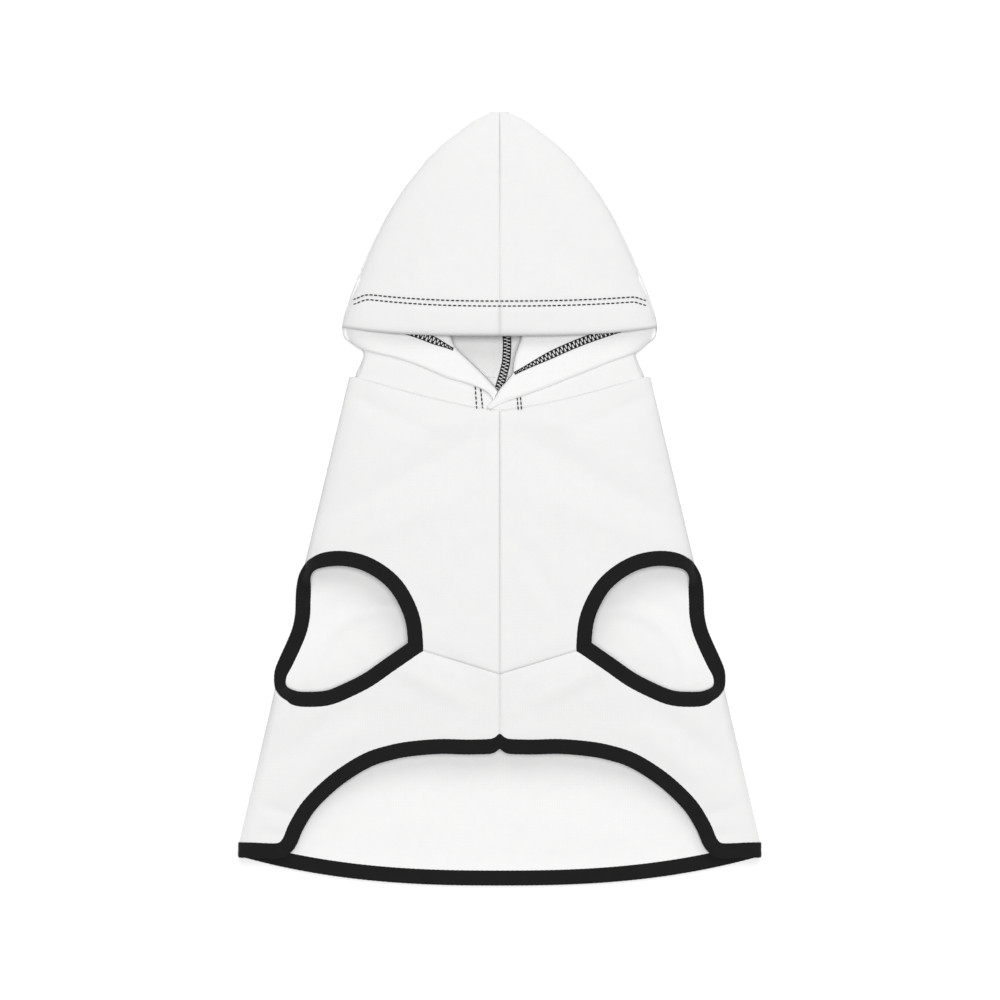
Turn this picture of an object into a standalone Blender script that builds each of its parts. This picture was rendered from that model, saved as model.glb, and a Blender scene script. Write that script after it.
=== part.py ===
"""Dog hoodie lying flat on its back, belly side up.

X runs across the garment, +Y from the hem to the hood's tip, Z up from the
surface it lies on. Lengths in this file are millimetres and are turned to
metres where a vertex is placed.
"""
import bmesh
import bpy
import math
from collections import namedtuple
from mathutils import Vector

MM = 0.001

# Cloth and seams
CLOTH = 1.5
HEM_CLOTH = 2.4
SEAM_GAP = 0.3
SIDE_GAP = 0.5
BINDING_WIDTH = 10.0
BINDING_THICK = 2.4
LAYER = 2.3

# Lengths down the garment
HOOD_HEIGHT = 143.6
FACE_DROP = 50.1
FRONT_LENGTH = 210.6
HEM_DROP = 97.8
NECK_SIDE_DROP = 28.2
CENTRE_SEAM = 170.3
HEM_RISE = 16.6

# Half widths
HOOD_HALF = 101.4
NECK_HALF = 87.8
SEAM_HALF = 93.3
SHOULDER_HALF = 97.0
HEM_HALF = 170.0

# Leg holes: inner corner and top of the middle of their binding
LEG_IN = 53.0
LEG_TOP = 97.0
LEG_DEPTH = 90.0
LEG_TIP = 5.6
LEG_GAP = 0.5

# Heights over the surface
SIDE_RISE = 4.0
BODY_HEIGHT = 28.0
HOOD_CROWN = 29.0
NAPE_HEIGHT = 16.0
TIP_LIFT = 2.4
HEM_DEPTH = 17.5

TIP_Y = 0.5 * (HOOD_HEIGHT + FACE_DROP + FRONT_LENGTH + HEM_DROP)
RIM_Y = TIP_Y - HOOD_HEIGHT
THROAT_Y = RIM_Y - FACE_DROP
ARCH_Y = THROAT_Y - FRONT_LENGTH
HEM_Y = ARCH_Y - HEM_DROP
NECK_SIDE_Y = RIM_Y - NECK_SIDE_DROP
NECK_DROP = NECK_SIDE_Y - THROAT_Y
APEX_Y = THROAT_Y - CENTRE_SEAM
LEG_TOP_Y = THROAT_Y - LEG_TOP
ARCH_MID_Y = ARCH_Y - 0.5 * BINDING_WIDTH
FLOOR_MID = 0.5 * CLOTH
HALF_BAND = 0.5 * BINDING_WIDTH
HEM_CURVE_HALF = 0.937 * HEM_HALF
HEM_CURVE_POWER = 2.5
TURN_RADIUS = SIDE_RISE - 0.5 * BINDING_THICK
TURN_X = HEM_HALF - 0.5 * BINDING_THICK - TURN_RADIUS
HEM_SIDE_Y = HEM_Y + HEM_RISE * (TURN_X / HEM_CURVE_HALF) ** HEM_CURVE_POWER + HALF_BAND
ARCH_DEPTH = ARCH_MID_Y - HEM_SIDE_Y
SIDE_END_Y = HEM_SIDE_Y + HALF_BAND + SEAM_GAP
SIDE_SLOPE = (HEM_HALF - SHOULDER_HALF) / (NECK_SIDE_Y - HEM_SIDE_Y)
LEG_SIDE = SHOULDER_HALF + SIDE_SLOPE * (NECK_SIDE_Y - LEG_TOP_Y)
LEG_SPAN = 1.245 * (LEG_SIDE - LEG_IN)

# How the rolled front edge lies: where the halves cross over each other at the throat,
# how far that lifts them, and the length over which the roll settles on the neck.
CROSS_HALF = 0.30 * NECK_HALF
CROSS_FADE = 0.22 * NECK_HALF
CROSS_LIFT = 1.15 * LAYER
SETTLE_LENGTH = 8.0
PLEAT_START = 0.72
TIP_SHARE = 0.12

# Where the hem turns level on its way round the side
CORNER_START = 0.85

# Hood: down is a share of HOOD_HEIGHT from the tip, half of HOOD_HALF, crown of HOOD_CROWN
HoodRow = namedtuple("HoodRow", "down half crown")
HOOD_OUTLINE = (
    HoodRow(0.000, 0.050, 0.19),
    HoodRow(0.036, 0.151, 0.28),
    HoodRow(0.077, 0.234, 0.37),
    HoodRow(0.145, 0.356, 0.48),
    HoodRow(0.213, 0.458, 0.57),
    HoodRow(0.348, 0.606, 0.70),
    HoodRow(0.484, 0.721, 0.80),
    HoodRow(0.620, 0.817, 0.89),
    HoodRow(0.756, 0.894, 0.96),
    HoodRow(0.891, 0.965, 1.00),
    HoodRow(1.000, 1.000, 0.98),
)

# Neck side: half is a share of NECK_HALF, down of NECK_SIDE_DROP under the forehead rim
NeckRow = namedtuple("NeckRow", "half down")
NECK_SIDE = (
    NeckRow(1.115, 0.16),
    NeckRow(1.059, 0.28),
    NeckRow(1.019, 0.37),
    NeckRow(1.000, 0.48),
    NeckRow(1.015, 0.62),
    NeckRow(1.032, 0.76),
    NeckRow(1.052, 0.88),
    NeckRow(1.063, 1.00),
)

# Front edge of the hood below the forehead: the free edge and the fold where it rolls outward.
# Out is a share of HOOD_HALF from the centre line, down of FACE_DROP under the forehead rim.
ThroatRow = namedtuple("ThroatRow", "edge_out edge_down roll_out roll_down")
THROAT_LEFT = (
    ThroatRow(0.994, -0.03, 0.327, 0.010),
    ThroatRow(0.853, 0.182, 0.295, 0.117),
    ThroatRow(0.744, 0.234, 0.269, 0.208),
    ThroatRow(0.603, 0.338, 0.218, 0.312),
    ThroatRow(0.462, 0.468, 0.160, 0.416),
    ThroatRow(0.327, 0.571, 0.109, 0.532),
    ThroatRow(0.231, 0.636, 0.064, 0.636),
    ThroatRow(0.122, 0.720, 0.026, 0.740),
    ThroatRow(0.040, 0.980, -0.010, 0.980),
)
THROAT_RIGHT = (
    ThroatRow(0.994, -0.03, 0.147, 0.052),
    ThroatRow(0.962, 0.130, 0.122, 0.182),
    ThroatRow(0.853, 0.247, 0.103, 0.312),
    ThroatRow(0.692, 0.383, 0.093, 0.416),
    ThroatRow(0.487, 0.532, 0.090, 0.519),
    ThroatRow(0.276, 0.701, 0.051, 0.623),
    ThroatRow(0.125, 0.818, 0.000, 0.727),
    ThroatRow(0.000, 0.922, -0.019, 0.805),
    ThroatRow(-0.045, 0.980, -0.070, 0.970),
)

# Height of the belly side at its centre: down is a share from neck side to hem side
HeightRow = namedtuple("HeightRow", "down height")
BODY_HEIGHTS = (
    HeightRow(0.00, 0.66),
    HeightRow(0.10, 0.84),
    HeightRow(0.25, 0.97),
    HeightRow(0.40, 1.00),
    HeightRow(0.60, 0.95),
    HeightRow(0.75, 0.76),
    HeightRow(0.85, 0.58),
    HeightRow(1.00, 0.38),
)

# Leg binding, from the inner corner over the top, down the side and back along the belly.
# Out is a share of LEG_SPAN, down of LEG_DEPTH, lift is 1 on the belly side and 0 on the back.
LegRow = namedtuple("LegRow", "out down lift")
LEG_LOOP = (
    LegRow(0.013, 0.617, 1.0),
    LegRow(0.029, 0.448, 1.0),
    LegRow(0.076, 0.310, 1.0),
    LegRow(0.155, 0.188, 1.0),
    LegRow(0.264, 0.094, 1.0),
    LegRow(0.394, 0.029, 1.0),
    LegRow(0.531, 0.000, 1.0),
    LegRow(0.661, 0.007, 1.0),
    LegRow(0.769, 0.043, 1.0),
    LegRow(0.828, 0.115, 1.0),
    LegRow(0.832, 0.200, 0.3),
    LegRow(0.830, 0.289, 0.0),
    LegRow(0.834, 0.397, 0.0),
    LegRow(0.856, 0.505, 0.0),
    LegRow(0.899, 0.614, 0.0),
    LegRow(0.949, 0.722, 0.0),
    LegRow(0.994, 0.830, 0.0),
    LegRow(0.985, 0.930, 0.5),
    LegRow(0.892, 0.989, 1.0),
    LegRow(0.783, 1.000, 1.0),
    LegRow(0.639, 0.986, 1.0),
    LegRow(0.495, 0.928, 1.0),
    LegRow(0.350, 0.852, 1.0),
    LegRow(0.206, 0.751, 1.0),
    LegRow(0.013, 0.617, 1.0),
)
LEG_TIP_OUT = -0.83
LEG_TIP_DOWN = 0.55

# Where the back panel leaves room for the leg binding: down is a share of LEG_DEPTH,
# inset is how far the edge has moved in to the binding, curl how far it turns up at the side.
NotchRow = namedtuple("NotchRow", "down inset curl")
BACK_NOTCH = (
    NotchRow(-0.20, 0.0, 1.0),
    NotchRow(-0.04, 0.0, 1.0),
    NotchRow(0.03, 0.1, 0.0),
    NotchRow(0.12, 0.9, 0.0),
    NotchRow(0.20, 1.0, 0.0),
    NotchRow(0.33, 1.0, 0.0),
    NotchRow(0.44, 1.0, 0.0),
    NotchRow(0.52, 1.0, 0.0),
    NotchRow(0.61, 1.0, 0.0),
    NotchRow(0.80, 1.0, 0.0),
    NotchRow(0.93, 1.0, 0.0),
    NotchRow(1.02, 0.5, 0.0),
    NotchRow(1.08, 0.0, 0.0),
    NotchRow(1.16, 0.0, 1.0),
)

# Belly arch, middle of the binding: out is a share of HEM_HALF, down of ARCH_DEPTH
ArchRow = namedtuple("ArchRow", "out down")
ARCH_LINE = (
    ArchRow(0.000, 0.000),
    ArchRow(0.115, 0.028),
    ArchRow(0.229, 0.023),
    ArchRow(0.344, 0.047),
    ArchRow(0.421, 0.084),
    ArchRow(0.497, 0.144),
    ArchRow(0.574, 0.251),
    ArchRow(0.650, 0.391),
    ArchRow(0.727, 0.581),
    ArchRow(0.776, 0.772),
    ArchRow(0.806, 0.935),
    ArchRow(0.840, 1.000),
    ArchRow(0.899, 1.000),
    ArchRow(0.955, 1.000),
)

# Folds of the belly side: out is a share of HEM_HALF, down of FRONT_LENGTH from the throat,
# wide of CLOTH, rise of BODY_HEIGHT, negative for a valley.
Fold = namedtuple("Fold", "out_a down_a out_b down_b wide rise")
BODY_FOLDS = (
    Fold(0.53, -0.05, 0.33, 0.01, 3.0, -0.06),
    Fold(0.32, 0.05, 0.20, 0.00, 3.0, 0.04),
    Fold(0.59, 0.29, 0.30, 0.16, 5.0, -0.12),
    Fold(0.30, 0.16, 0.07, 0.06, 4.0, -0.09),
    Fold(0.72, 0.41, 0.30, 0.27, 5.0, 0.09),
    Fold(0.21, 0.60, 0.07, 0.46, 4.0, -0.05),
    Fold(0.28, 0.73, 0.13, 0.77, 4.0, -0.05),
    Fold(0.38, 0.79, 0.19, 0.86, 4.0, 0.05),
    Fold(0.86, 1.09, 0.63, 0.93, 5.0, -0.07),
    Fold(0.80, 1.14, 0.58, 0.98, 5.0, 0.05),
)
# Folds of the hood: out of HOOD_HALF, down of HOOD_HEIGHT, rise of HOOD_CROWN
HOOD_FOLDS = (
    Fold(0.06, 0.35, 0.06, 0.80, 4.0, -0.05),
    Fold(0.20, 0.25, 0.55, 0.60, 6.0, 0.05),
    Fold(0.30, 0.60, 0.75, 0.85, 6.0, -0.05),
)

# Fineness of the panels
CHEST_ROWS = 12
BELLY_ROWS = 8
SEAM_COLUMNS = 5
SEAM_SHARE = 0.36
BACK_COLUMNS = 14
BACK_TOP_SHARES = (0.0, 0.33, 0.67)
BACK_END_SHARES = (0.33, 0.67, 1.0)
CURL_ANGLES = (30.0, 60.0, 90.0)
HOOD_ROWS = 14
LEG_STEPS = 2
LINE_STEPS = 6

# Columns of a hood half, from the crown's centre line round the side to the nape
TOP_COLUMNS = (0.0, 0.16, 0.32, 0.48, 0.64, 0.79, 0.91, 0.985)
TURN_SHARES = (0.05, 0.33, 0.67, 0.95)
NECK_SHARES = (0.04, 0.25, 0.5, 0.75, 0.96)
FLOOR_SHARES = (0.03, 0.25, 0.5, 0.75, 1.0)
EDGE_COLUMN = len(TOP_COLUMNS)

# Columns across a binding, with the share of its thickness there
BAND_COLUMNS = (-1.0, -0.6, 0.6, 1.0)
BAND_WEIGHTS = (0.5, 1.0, 1.0, 0.5)
HEM_TURN_ANGLES = (30.0, 60.0, 90.0, 120.0, 150.0)
HEM_BACK_ROWS = 10

# Linear colours
WHITE = (0.86, 0.86, 0.85)
BLACK = (0.012, 0.012, 0.013)
CLOTH_ROUGHNESS = 0.9
BINDING_ROUGHNESS = 0.8


def dome(share):
    """Height of a lightly puffed tube over its half width, 1 in the middle and 0 at the side."""
    return max(0.0, 1.0 - abs(share) ** 2.2) ** 0.5


def ease(value):
    """Smooth step from 0 to 1."""
    value = min(1.0, max(0.0, value))
    return value * value * (3.0 - 2.0 * value)


def mix(start, end, share):
    return start + (end - start) * share


def read_table(rows, column, key, value):
    """Value of one column of a table where its key column has the given value."""
    keys = [getattr(row, key) for row in rows]
    values = [getattr(row, column) for row in rows]
    if value <= keys[0]:
        return values[0]
    for low in range(len(rows) - 1):
        if value <= keys[low + 1]:
            share = (value - keys[low]) / (keys[low + 1] - keys[low])
            before = values[max(0, low - 1)]
            after = values[min(len(rows) - 1, low + 2)]
            return smooth_between(before, values[low], values[low + 1], after, share)
    return values[-1]


def smooth_between(before, start, end, after, share):
    """Smooth curve from start to end that keeps the slope of its neighbours."""
    lead = 0.5 * (end - before)
    trail = 0.5 * (after - start)
    square = share * share
    cube = square * share
    return (
        (2 * cube - 3 * square + 1) * start
        + (cube - 2 * square + share) * lead
        + (3 * square - 2 * cube) * end
        + (cube - square) * trail
    )


def smooth_line(points, steps=LINE_STEPS):
    """Dense line through the points."""
    line = []
    last = len(points) - 1
    for low in range(last):
        before = points[max(0, low - 1)]
        after = points[min(last, low + 2)]
        for step in range(steps):
            line.append(smooth_between(before, points[low], points[low + 1], after, step / steps))
    line.append(points[last].copy())
    return line


def point_at(line, share):
    """Point at a share of the line's length."""
    lengths = [0.0]
    for low in range(len(line) - 1):
        lengths.append(lengths[-1] + (line[low + 1] - line[low]).length)
    target = share * lengths[-1]
    for low in range(len(line) - 1):
        if target <= lengths[low + 1] or low == len(line) - 2:
            span = lengths[low + 1] - lengths[low]
            return line[low].lerp(line[low + 1], (target - lengths[low]) / max(span, 1e-9))


def normals_of(line):
    """Unit vector to the right of the line's direction at each point, in plan."""
    normals = []
    for index in range(len(line)):
        ahead = line[min(index + 1, len(line) - 1)]
        behind = line[max(index - 1, 0)]
        direction = ahead - behind
        normals.append(Vector((direction.y, -direction.x, 0.0)).normalized())
    return normals


def body_half(y):
    """Half width of the body, which widens evenly from shoulder to hem."""
    return SHOULDER_HALF + SIDE_SLOPE * (NECK_SIDE_Y - y)


def neck_seam_y(x):
    """The neck seam dips from the shoulders to the throat."""
    share = min(1.0, abs(x) / SEAM_HALF)
    return NECK_SIDE_Y - NECK_DROP * (1.0 - share ** 1.3)


def fold_height(folds, out, down, out_unit, down_unit, rise_unit):
    """Sum of the folds at one point, each a soft ridge or valley along a short line."""
    height = 0.0
    here = Vector((out, down))
    for fold in folds:
        start = Vector((fold.out_a * out_unit, fold.down_a * down_unit))
        end = Vector((fold.out_b * out_unit, fold.down_b * down_unit))
        along = end - start
        share = min(1.0, max(0.0, (here - start).dot(along) / along.length_squared))
        distance = (here - start - along * share).length / (fold.wide * CLOTH)
        height += fold.rise * rise_unit * math.exp(-distance * distance)
    return height


def front_z(x, y):
    """Middle of the cloth of the belly side."""
    down = (NECK_SIDE_Y - y) / (NECK_SIDE_Y - HEM_SIDE_Y)
    height = BODY_HEIGHT * read_table(BODY_HEIGHTS, "height", "down", down)
    puff = dome(x / body_half(y))
    fold = fold_height(BODY_FOLDS, abs(x), THROAT_Y - y, HEM_HALF, FRONT_LENGTH, BODY_HEIGHT)
    side = SIDE_RISE + SIDE_GAP
    return side + (height - side) * puff + fold * min(1.0, 2.0 * puff)


def back_hem_y(x):
    """Outer edge of the hem at the back."""
    return HEM_Y + HEM_RISE * (abs(x) / HEM_CURVE_HALF) ** HEM_CURVE_POWER


def leg_point(row):
    x = LEG_IN + row.out * LEG_SPAN
    return Vector((x, LEG_TOP_Y - row.down * LEG_DEPTH, row.lift))


LEG_LINE = smooth_line([leg_point(row) for row in LEG_LOOP], LEG_STEPS)
LEG_TIP_SIDE = Vector((LEG_TIP_OUT, -LEG_TIP_DOWN, 0.0)).normalized() * LEG_TIP
LEG_SIDES = [-normal * HALF_BAND for normal in normals_of(LEG_LINE)]
LEG_SIDES[0] = LEG_TIP_SIDE
LEG_SIDES[-1] = LEG_TIP_SIDE
HALF_LOOP = len(LEG_LINE) // 2


def leg_edge(points, sides):
    """Cloth edge along part of a leg binding, from the inner corner to the side fold."""
    edge = []
    for point, side in zip(points, sides):
        outer = point + side * (1.0 + LEG_GAP / HALF_BAND)
        outer.z = 0.0
        over = outer.x - body_half(outer.y)
        if over >= 0.0:
            share = under / (under + over)
            crossing = edge[-1].lerp(outer, share)
            edge.append(Vector((body_half(crossing.y), crossing.y, 0.0)))
            return edge
        under = -over
        edge.append(outer)
    return edge


BACK_EDGE = [
    point - side * (1.0 + LEG_GAP / HALF_BAND)
    for point, side in zip(LEG_LINE, LEG_SIDES)
    if point.z < 0.99
]


def notch_half(y):
    """Half width to the cloth side of the leg binding where it runs along the back."""
    for upper, lower in zip(BACK_EDGE, BACK_EDGE[1:]):
        if lower.y <= y <= upper.y:
            return mix(upper.x, lower.x, (upper.y - y) / (upper.y - lower.y))
    return BACK_EDGE[0].x if y > BACK_EDGE[0].y else BACK_EDGE[-1].x


UPPER_EDGE = leg_edge(LEG_LINE[:HALF_LOOP], LEG_SIDES[:HALF_LOOP])
LOWER_EDGE = leg_edge(LEG_LINE[:HALF_LOOP:-1], LEG_SIDES[:HALF_LOOP:-1])
CHEST_COLUMNS = SEAM_COLUMNS + len(UPPER_EDGE) - 1
BELLY_COLUMNS = SEAM_COLUMNS + len(LOWER_EDGE) - 1


def seam_point(column, edge, shift):
    """Point on the V seam, or past the inner corner on the edge along the leg binding."""
    if column >= SEAM_COLUMNS:
        point = edge[column - SEAM_COLUMNS]
        return Vector((point.x, point.y + (shift if column == SEAM_COLUMNS else 0.0), 0.0))
    start = Vector((0.5 * SEAM_GAP, APEX_Y, 0.0))
    point = start.lerp(edge[0], column / SEAM_COLUMNS)
    return Vector((point.x, point.y + shift, 0.0))


def front_hem():
    """Middle of the hem on the belly side, and the directions towards its cloth."""
    points = [Vector((row.out * HEM_HALF, ARCH_MID_Y - row.down * ARCH_DEPTH, 0.0)) for row in ARCH_LINE]
    line = smooth_line(points)
    line.append(Vector((TURN_X, HEM_SIDE_Y, 0.0)))
    spots = [point_at(line, column / BELLY_COLUMNS) for column in range(BELLY_COLUMNS + 1)]
    sides = [-normal for normal in normals_of(spots)]
    sides[0] = Vector((0.0, 1.0, 0.0))
    sides[-1] = Vector((0.0, 1.0, 0.0))
    return spots, sides


HEM_SPOTS, HEM_SIDES = front_hem()


def chest_place(across, down):
    """Chest half, from the neck seam to the V seam and the top of the leg hole."""
    column = round(across * CHEST_COLUMNS)
    if column <= SEAM_COLUMNS:
        share = SEAM_SHARE * column / SEAM_COLUMNS
    else:
        past = (column - SEAM_COLUMNS) / (CHEST_COLUMNS - SEAM_COLUMNS)
        share = mix(SEAM_SHARE, 1.0, 1.0 - (1.0 - past) ** 1.3)
    top_x = max(0.5 * SEAM_GAP, share * body_half(NECK_SIDE_Y))
    top = Vector((top_x, neck_seam_y(top_x) - 0.5 * SEAM_GAP, 0.0))
    point = top.lerp(seam_point(column, UPPER_EDGE, 0.5 * SEAM_GAP), down)
    if column == CHEST_COLUMNS:
        point.x = body_half(point.y)
    return Vector((point.x, point.y, front_z(point.x, point.y)))


def belly_place(across, down):
    """Belly half, from the V seam and the bottom of the leg hole to the arch."""
    column = round(across * BELLY_COLUMNS)
    top = seam_point(column, LOWER_EDGE, -0.5 * SEAM_GAP)
    bottom = HEM_SPOTS[column] + HEM_SIDES[column] * (HALF_BAND + SEAM_GAP)
    if column == 0:
        bottom.x = 0.5 * SEAM_GAP
    if column == BELLY_COLUMNS:
        bottom = Vector((body_half(SIDE_END_Y), SIDE_END_Y, 0.0))
    point = top.lerp(bottom, down)
    if column == BELLY_COLUMNS:
        point.x = body_half(point.y)
    return Vector((point.x, point.y, front_z(point.x, point.y)))


def back_rows():
    """Stations down the back: y, half width and curl of the side."""
    rows = []
    notch_top = LEG_TOP_Y - BACK_NOTCH[0].down * LEG_DEPTH
    for share in BACK_TOP_SHARES:
        y = mix(NECK_SIDE_Y - SEAM_GAP, notch_top, share)
        rows.append((y, body_half(y), 1.0))
    for row in BACK_NOTCH:
        y = LEG_TOP_Y - row.down * LEG_DEPTH
        rows.append((y, mix(body_half(y), notch_half(y), row.inset), row.curl))
    last = rows[-1][0]
    for share in BACK_END_SHARES:
        y = mix(last, SIDE_END_Y, share)
        rows.append((y, body_half(y), 1.0))
    return rows


def back_place(across, down):
    """Back panel: flat on the surface, its sides turned up to the side seams."""
    rows = back_rows()
    row = round(down * (len(rows) - 1))
    y, half, curl = rows[row]
    curls = len(CURL_ANGLES)
    column = round(across * (BACK_COLUMNS + 2 * curls))
    side = -1.0 if column < curls else 1.0
    edge_column = min(column, BACK_COLUMNS + 2 * curls - column)
    radius = SIDE_RISE - FLOOR_MID - SIDE_GAP
    flat_half = half - radius
    if edge_column < curls:
        angle = math.radians(CURL_ANGLES[curls - 1 - edge_column])
        reach = mix(angle / math.radians(90.0), math.sin(angle), curl)
        x = side * (flat_half + radius * reach)
        z = FLOOR_MID + curl * radius * (1.0 - math.cos(angle))
    else:
        x = flat_half * mix(-1.0, 1.0, (column - curls) / BACK_COLUMNS)
        z = FLOOR_MID
    if row == len(rows) - 1:
        y = back_hem_y(x) + BINDING_WIDTH + SEAM_GAP
    return Vector((x, y, z))


def new_grid(across, down, place):
    """Grid mesh whose vertices are moved to the places of a panel."""
    mesh = bmesh.new()
    bmesh.ops.create_grid(mesh, x_segments=across, y_segments=down, size=0.5)
    for vertex in mesh.verts:
        vertex.co = place(vertex.co.x + 0.5, 0.5 - vertex.co.y) * MM
    return mesh


def add_part(name, mesh, material, thickness, parent, weights=None, even=True):
    """Object for a panel, with its wall as a Solidify modifier."""
    data = bpy.data.meshes.new(name)
    bmesh.ops.recalc_face_normals(mesh, faces=mesh.faces)
    mesh.to_mesh(data)
    mesh.free()
    part = bpy.data.objects.new(name, data)
    part.parent = parent
    data.materials.append(material)
    data.shade_smooth()
    wall = part.modifiers.new("Wall", "SOLIDIFY")
    wall.thickness = thickness * MM
    wall.offset = 0.0
    wall.use_even_offset = even
    if weights:
        group = part.vertex_groups.new(name="wall")
        for index, weight in enumerate(weights):
            group.add([index], weight, "REPLACE")
        wall.vertex_group = group.name
    return part


def mirror_mesh(mesh, side):
    for vertex in mesh.verts:
        vertex.co.x *= side


def add_panel(name, place, across, down, side, material, parent):
    mesh = new_grid(across, down, place)
    mirror_mesh(mesh, side)
    return add_part(name, mesh, material, CLOTH, parent)


def neck_z(x, y, half, lower, lift):
    """Middle of the cloth of the neck, under the rolled edge."""
    side = FLOOR_MID + LAYER
    rim = side + (NAPE_HEIGHT - side) * dome(x / half)
    return mix(rim, front_z(x, y), lower) + lift


def throat_lift(x, lower, sign):
    """The right edge crosses over the left one at the throat."""
    near = ease((CROSS_HALF - abs(x)) / CROSS_FADE)
    return sign * CROSS_LIFT * near * ease(2.0 * lower)


def hood_columns(y, half, roll, edge, floor, top, lower, sign):
    """Points across a hood half from its free edge or side fold to the nape."""
    side_point = Vector((half, y, 0.0))
    settled = min(1.0, (roll - side_point).length / SETTLE_LENGTH)
    points = []
    for share in TURN_SHARES:
        point = edge.lerp(roll, share)
        level = neck_z(point.x, point.y, half, lower, throat_lift(point.x, lower, sign)) + LAYER
        start = mix(edge.z, roll.z, share)
        point.z = mix(start, level, settled) if lower == 0.0 else level
        points.append(point)
    roll_level = neck_z(roll.x, roll.y, half, lower, throat_lift(roll.x, lower, sign)) + 0.5 * LAYER
    middle = Vector((roll.x, roll.y, mix(0.5 * (top + floor), roll_level, settled)))
    points.append(middle)
    for share in NECK_SHARES:
        point = roll.lerp(side_point, share)
        if lower == 1.0:
            point.y = neck_seam_y(point.x) + 0.5 * SEAM_GAP
        level = neck_z(point.x, point.y, half, lower, throat_lift(point.x, lower, sign))
        start = mix(middle.z, floor + LAYER, share)
        point.z = mix(start, level, settled)
        points.append(point)
    side_point.z = 0.5 * (floor + min(points[-1].z, 2.0 * SIDE_RISE))
    points.append(side_point)
    return points


def hood_upper(row):
    """One section of a hood half above the forehead rim; the sections crowd towards the tip."""
    down = (row / HOOD_ROWS) ** 1.3
    y = TIP_Y - down * HOOD_HEIGHT
    half = HOOD_HALF * read_table(HOOD_OUTLINE, "half", "down", down)
    crown = HOOD_CROWN * read_table(HOOD_OUTLINE, "crown", "down", down)
    near_tip = max(0.0, 1.0 - down / TIP_SHARE)
    floor = FLOOR_MID + TIP_LIFT * near_tip ** 2
    top = floor + 3.0 * LAYER * mix(1.0, 0.35, near_tip)
    return y, half, crown, floor, top, down


def hood_rows(throat, sign):
    """All sections of a hood half, each a list of points, with None above the free edge."""
    rows = []
    for row in range(HOOD_ROWS + 1):
        y, half, crown, floor, top, down = hood_upper(row)
        points = []
        for share in TOP_COLUMNS:
            x = max(0.5 * SEAM_GAP, share * half)
            fold = fold_height(HOOD_FOLDS, x, TIP_Y - y, HOOD_HALF, HOOD_HEIGHT, HOOD_CROWN)
            puff = dome(x / half)
            points.append(Vector((x, y, top + (crown - top) * puff + fold * puff * ease(3.0 * down))))
        edge = Vector((half, y, top - 0.5 * LAYER))
        pleat = ease((down - PLEAT_START) / (1.0 - PLEAT_START))
        roll_x = mix(half, throat[0].roll_out * HOOD_HALF, pleat)
        roll = Vector((roll_x, y, 0.5 * (top + floor)))
        points.append(edge)
        points.extend(hood_columns(y, half, roll, edge, floor, top, 0.0, sign))
        points.extend(floor_points(y, half, floor))
        rows.append(points)
    for index, (neck, row) in enumerate(zip(NECK_SIDE, throat[1:])):
        lower = (index + 1) / len(NECK_SIDE)
        half = neck.half * NECK_HALF
        y = RIM_Y - neck.down * NECK_SIDE_DROP
        if lower == 1.0:
            y += 0.5 * SEAM_GAP
        edge = Vector((row.edge_out * HOOD_HALF, RIM_Y - row.edge_down * FACE_DROP, 0.0))
        roll = Vector((row.roll_out * HOOD_HALF, RIM_Y - row.roll_down * FACE_DROP, 0.0))
        rise = throat_lift(edge.x, lower, sign)
        edge.z = neck_z(edge.x, edge.y, half, lower, rise) + LAYER
        top = FLOOR_MID + 3.0 * LAYER
        points = [None] * EDGE_COLUMN + [edge]
        points.extend(hood_columns(y, half, roll, edge, FLOOR_MID, top, lower, sign))
        points.extend(floor_points(y, half, FLOOR_MID))
        rows.append(points)
    return rows


def floor_points(y, half, floor):
    points = []
    for share in FLOOR_SHARES:
        x = max(0.5 * SEAM_GAP, half * (1.0 - share))
        points.append(Vector((x, y, floor)))
    return points


def add_hood(name, side, throat, material, parent):
    """Hood half: one cloth that goes over the crown, round the side and under the nape."""
    rows = hood_rows(throat, side)
    across = len(rows[0]) - 1
    down = len(rows) - 1
    mesh = bmesh.new()
    bmesh.ops.create_grid(mesh, x_segments=across, y_segments=down, size=0.5)
    thick = mesh.verts.layers.float.new("thick")
    loose = []
    for vertex in mesh.verts:
        column = round((vertex.co.x + 0.5) * across)
        row = round((0.5 - vertex.co.y) * down)
        point = rows[row][column]
        if point is None:
            loose.append(vertex)
            continue
        vertex.co = Vector((side * point.x, point.y, point.z)) * MM
        in_hem = column < EDGE_COLUMN and point.y < RIM_Y + HEM_DEPTH
        vertex[thick] = 1.0 if in_hem else CLOTH / HEM_CLOTH
    bmesh.ops.delete(mesh, geom=loose, context="VERTS")
    mesh.verts.index_update()
    weights = [vertex[thick] for vertex in mesh.verts]
    mesh.verts.layers.float.remove(thick)
    return add_part(name, mesh, material, HEM_CLOTH, parent, weights, even=False)


def add_band(name, rows, material, parent, side=1.0):
    """Closed band of binding from its sections, rounded along both edges."""
    across = len(BAND_COLUMNS) - 1
    down = len(rows) - 1
    mesh = bmesh.new()
    bmesh.ops.create_grid(mesh, x_segments=across, y_segments=down, size=0.5)
    thick = mesh.verts.layers.float.new("thick")
    for vertex in mesh.verts:
        column = round((vertex.co.x + 0.5) * across)
        row = round((0.5 - vertex.co.y) * down)
        point = rows[row][column]
        vertex.co = Vector((side * point.x, point.y, point.z)) * MM
        vertex[thick] = BAND_WEIGHTS[column]
    bmesh.ops.remove_doubles(mesh, verts=mesh.verts, dist=0.00001)
    mesh.verts.index_update()
    weights = [vertex[thick] for vertex in mesh.verts]
    mesh.verts.layers.float.remove(thick)
    return add_part(name, mesh, material, BINDING_THICK, parent, weights)


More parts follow.
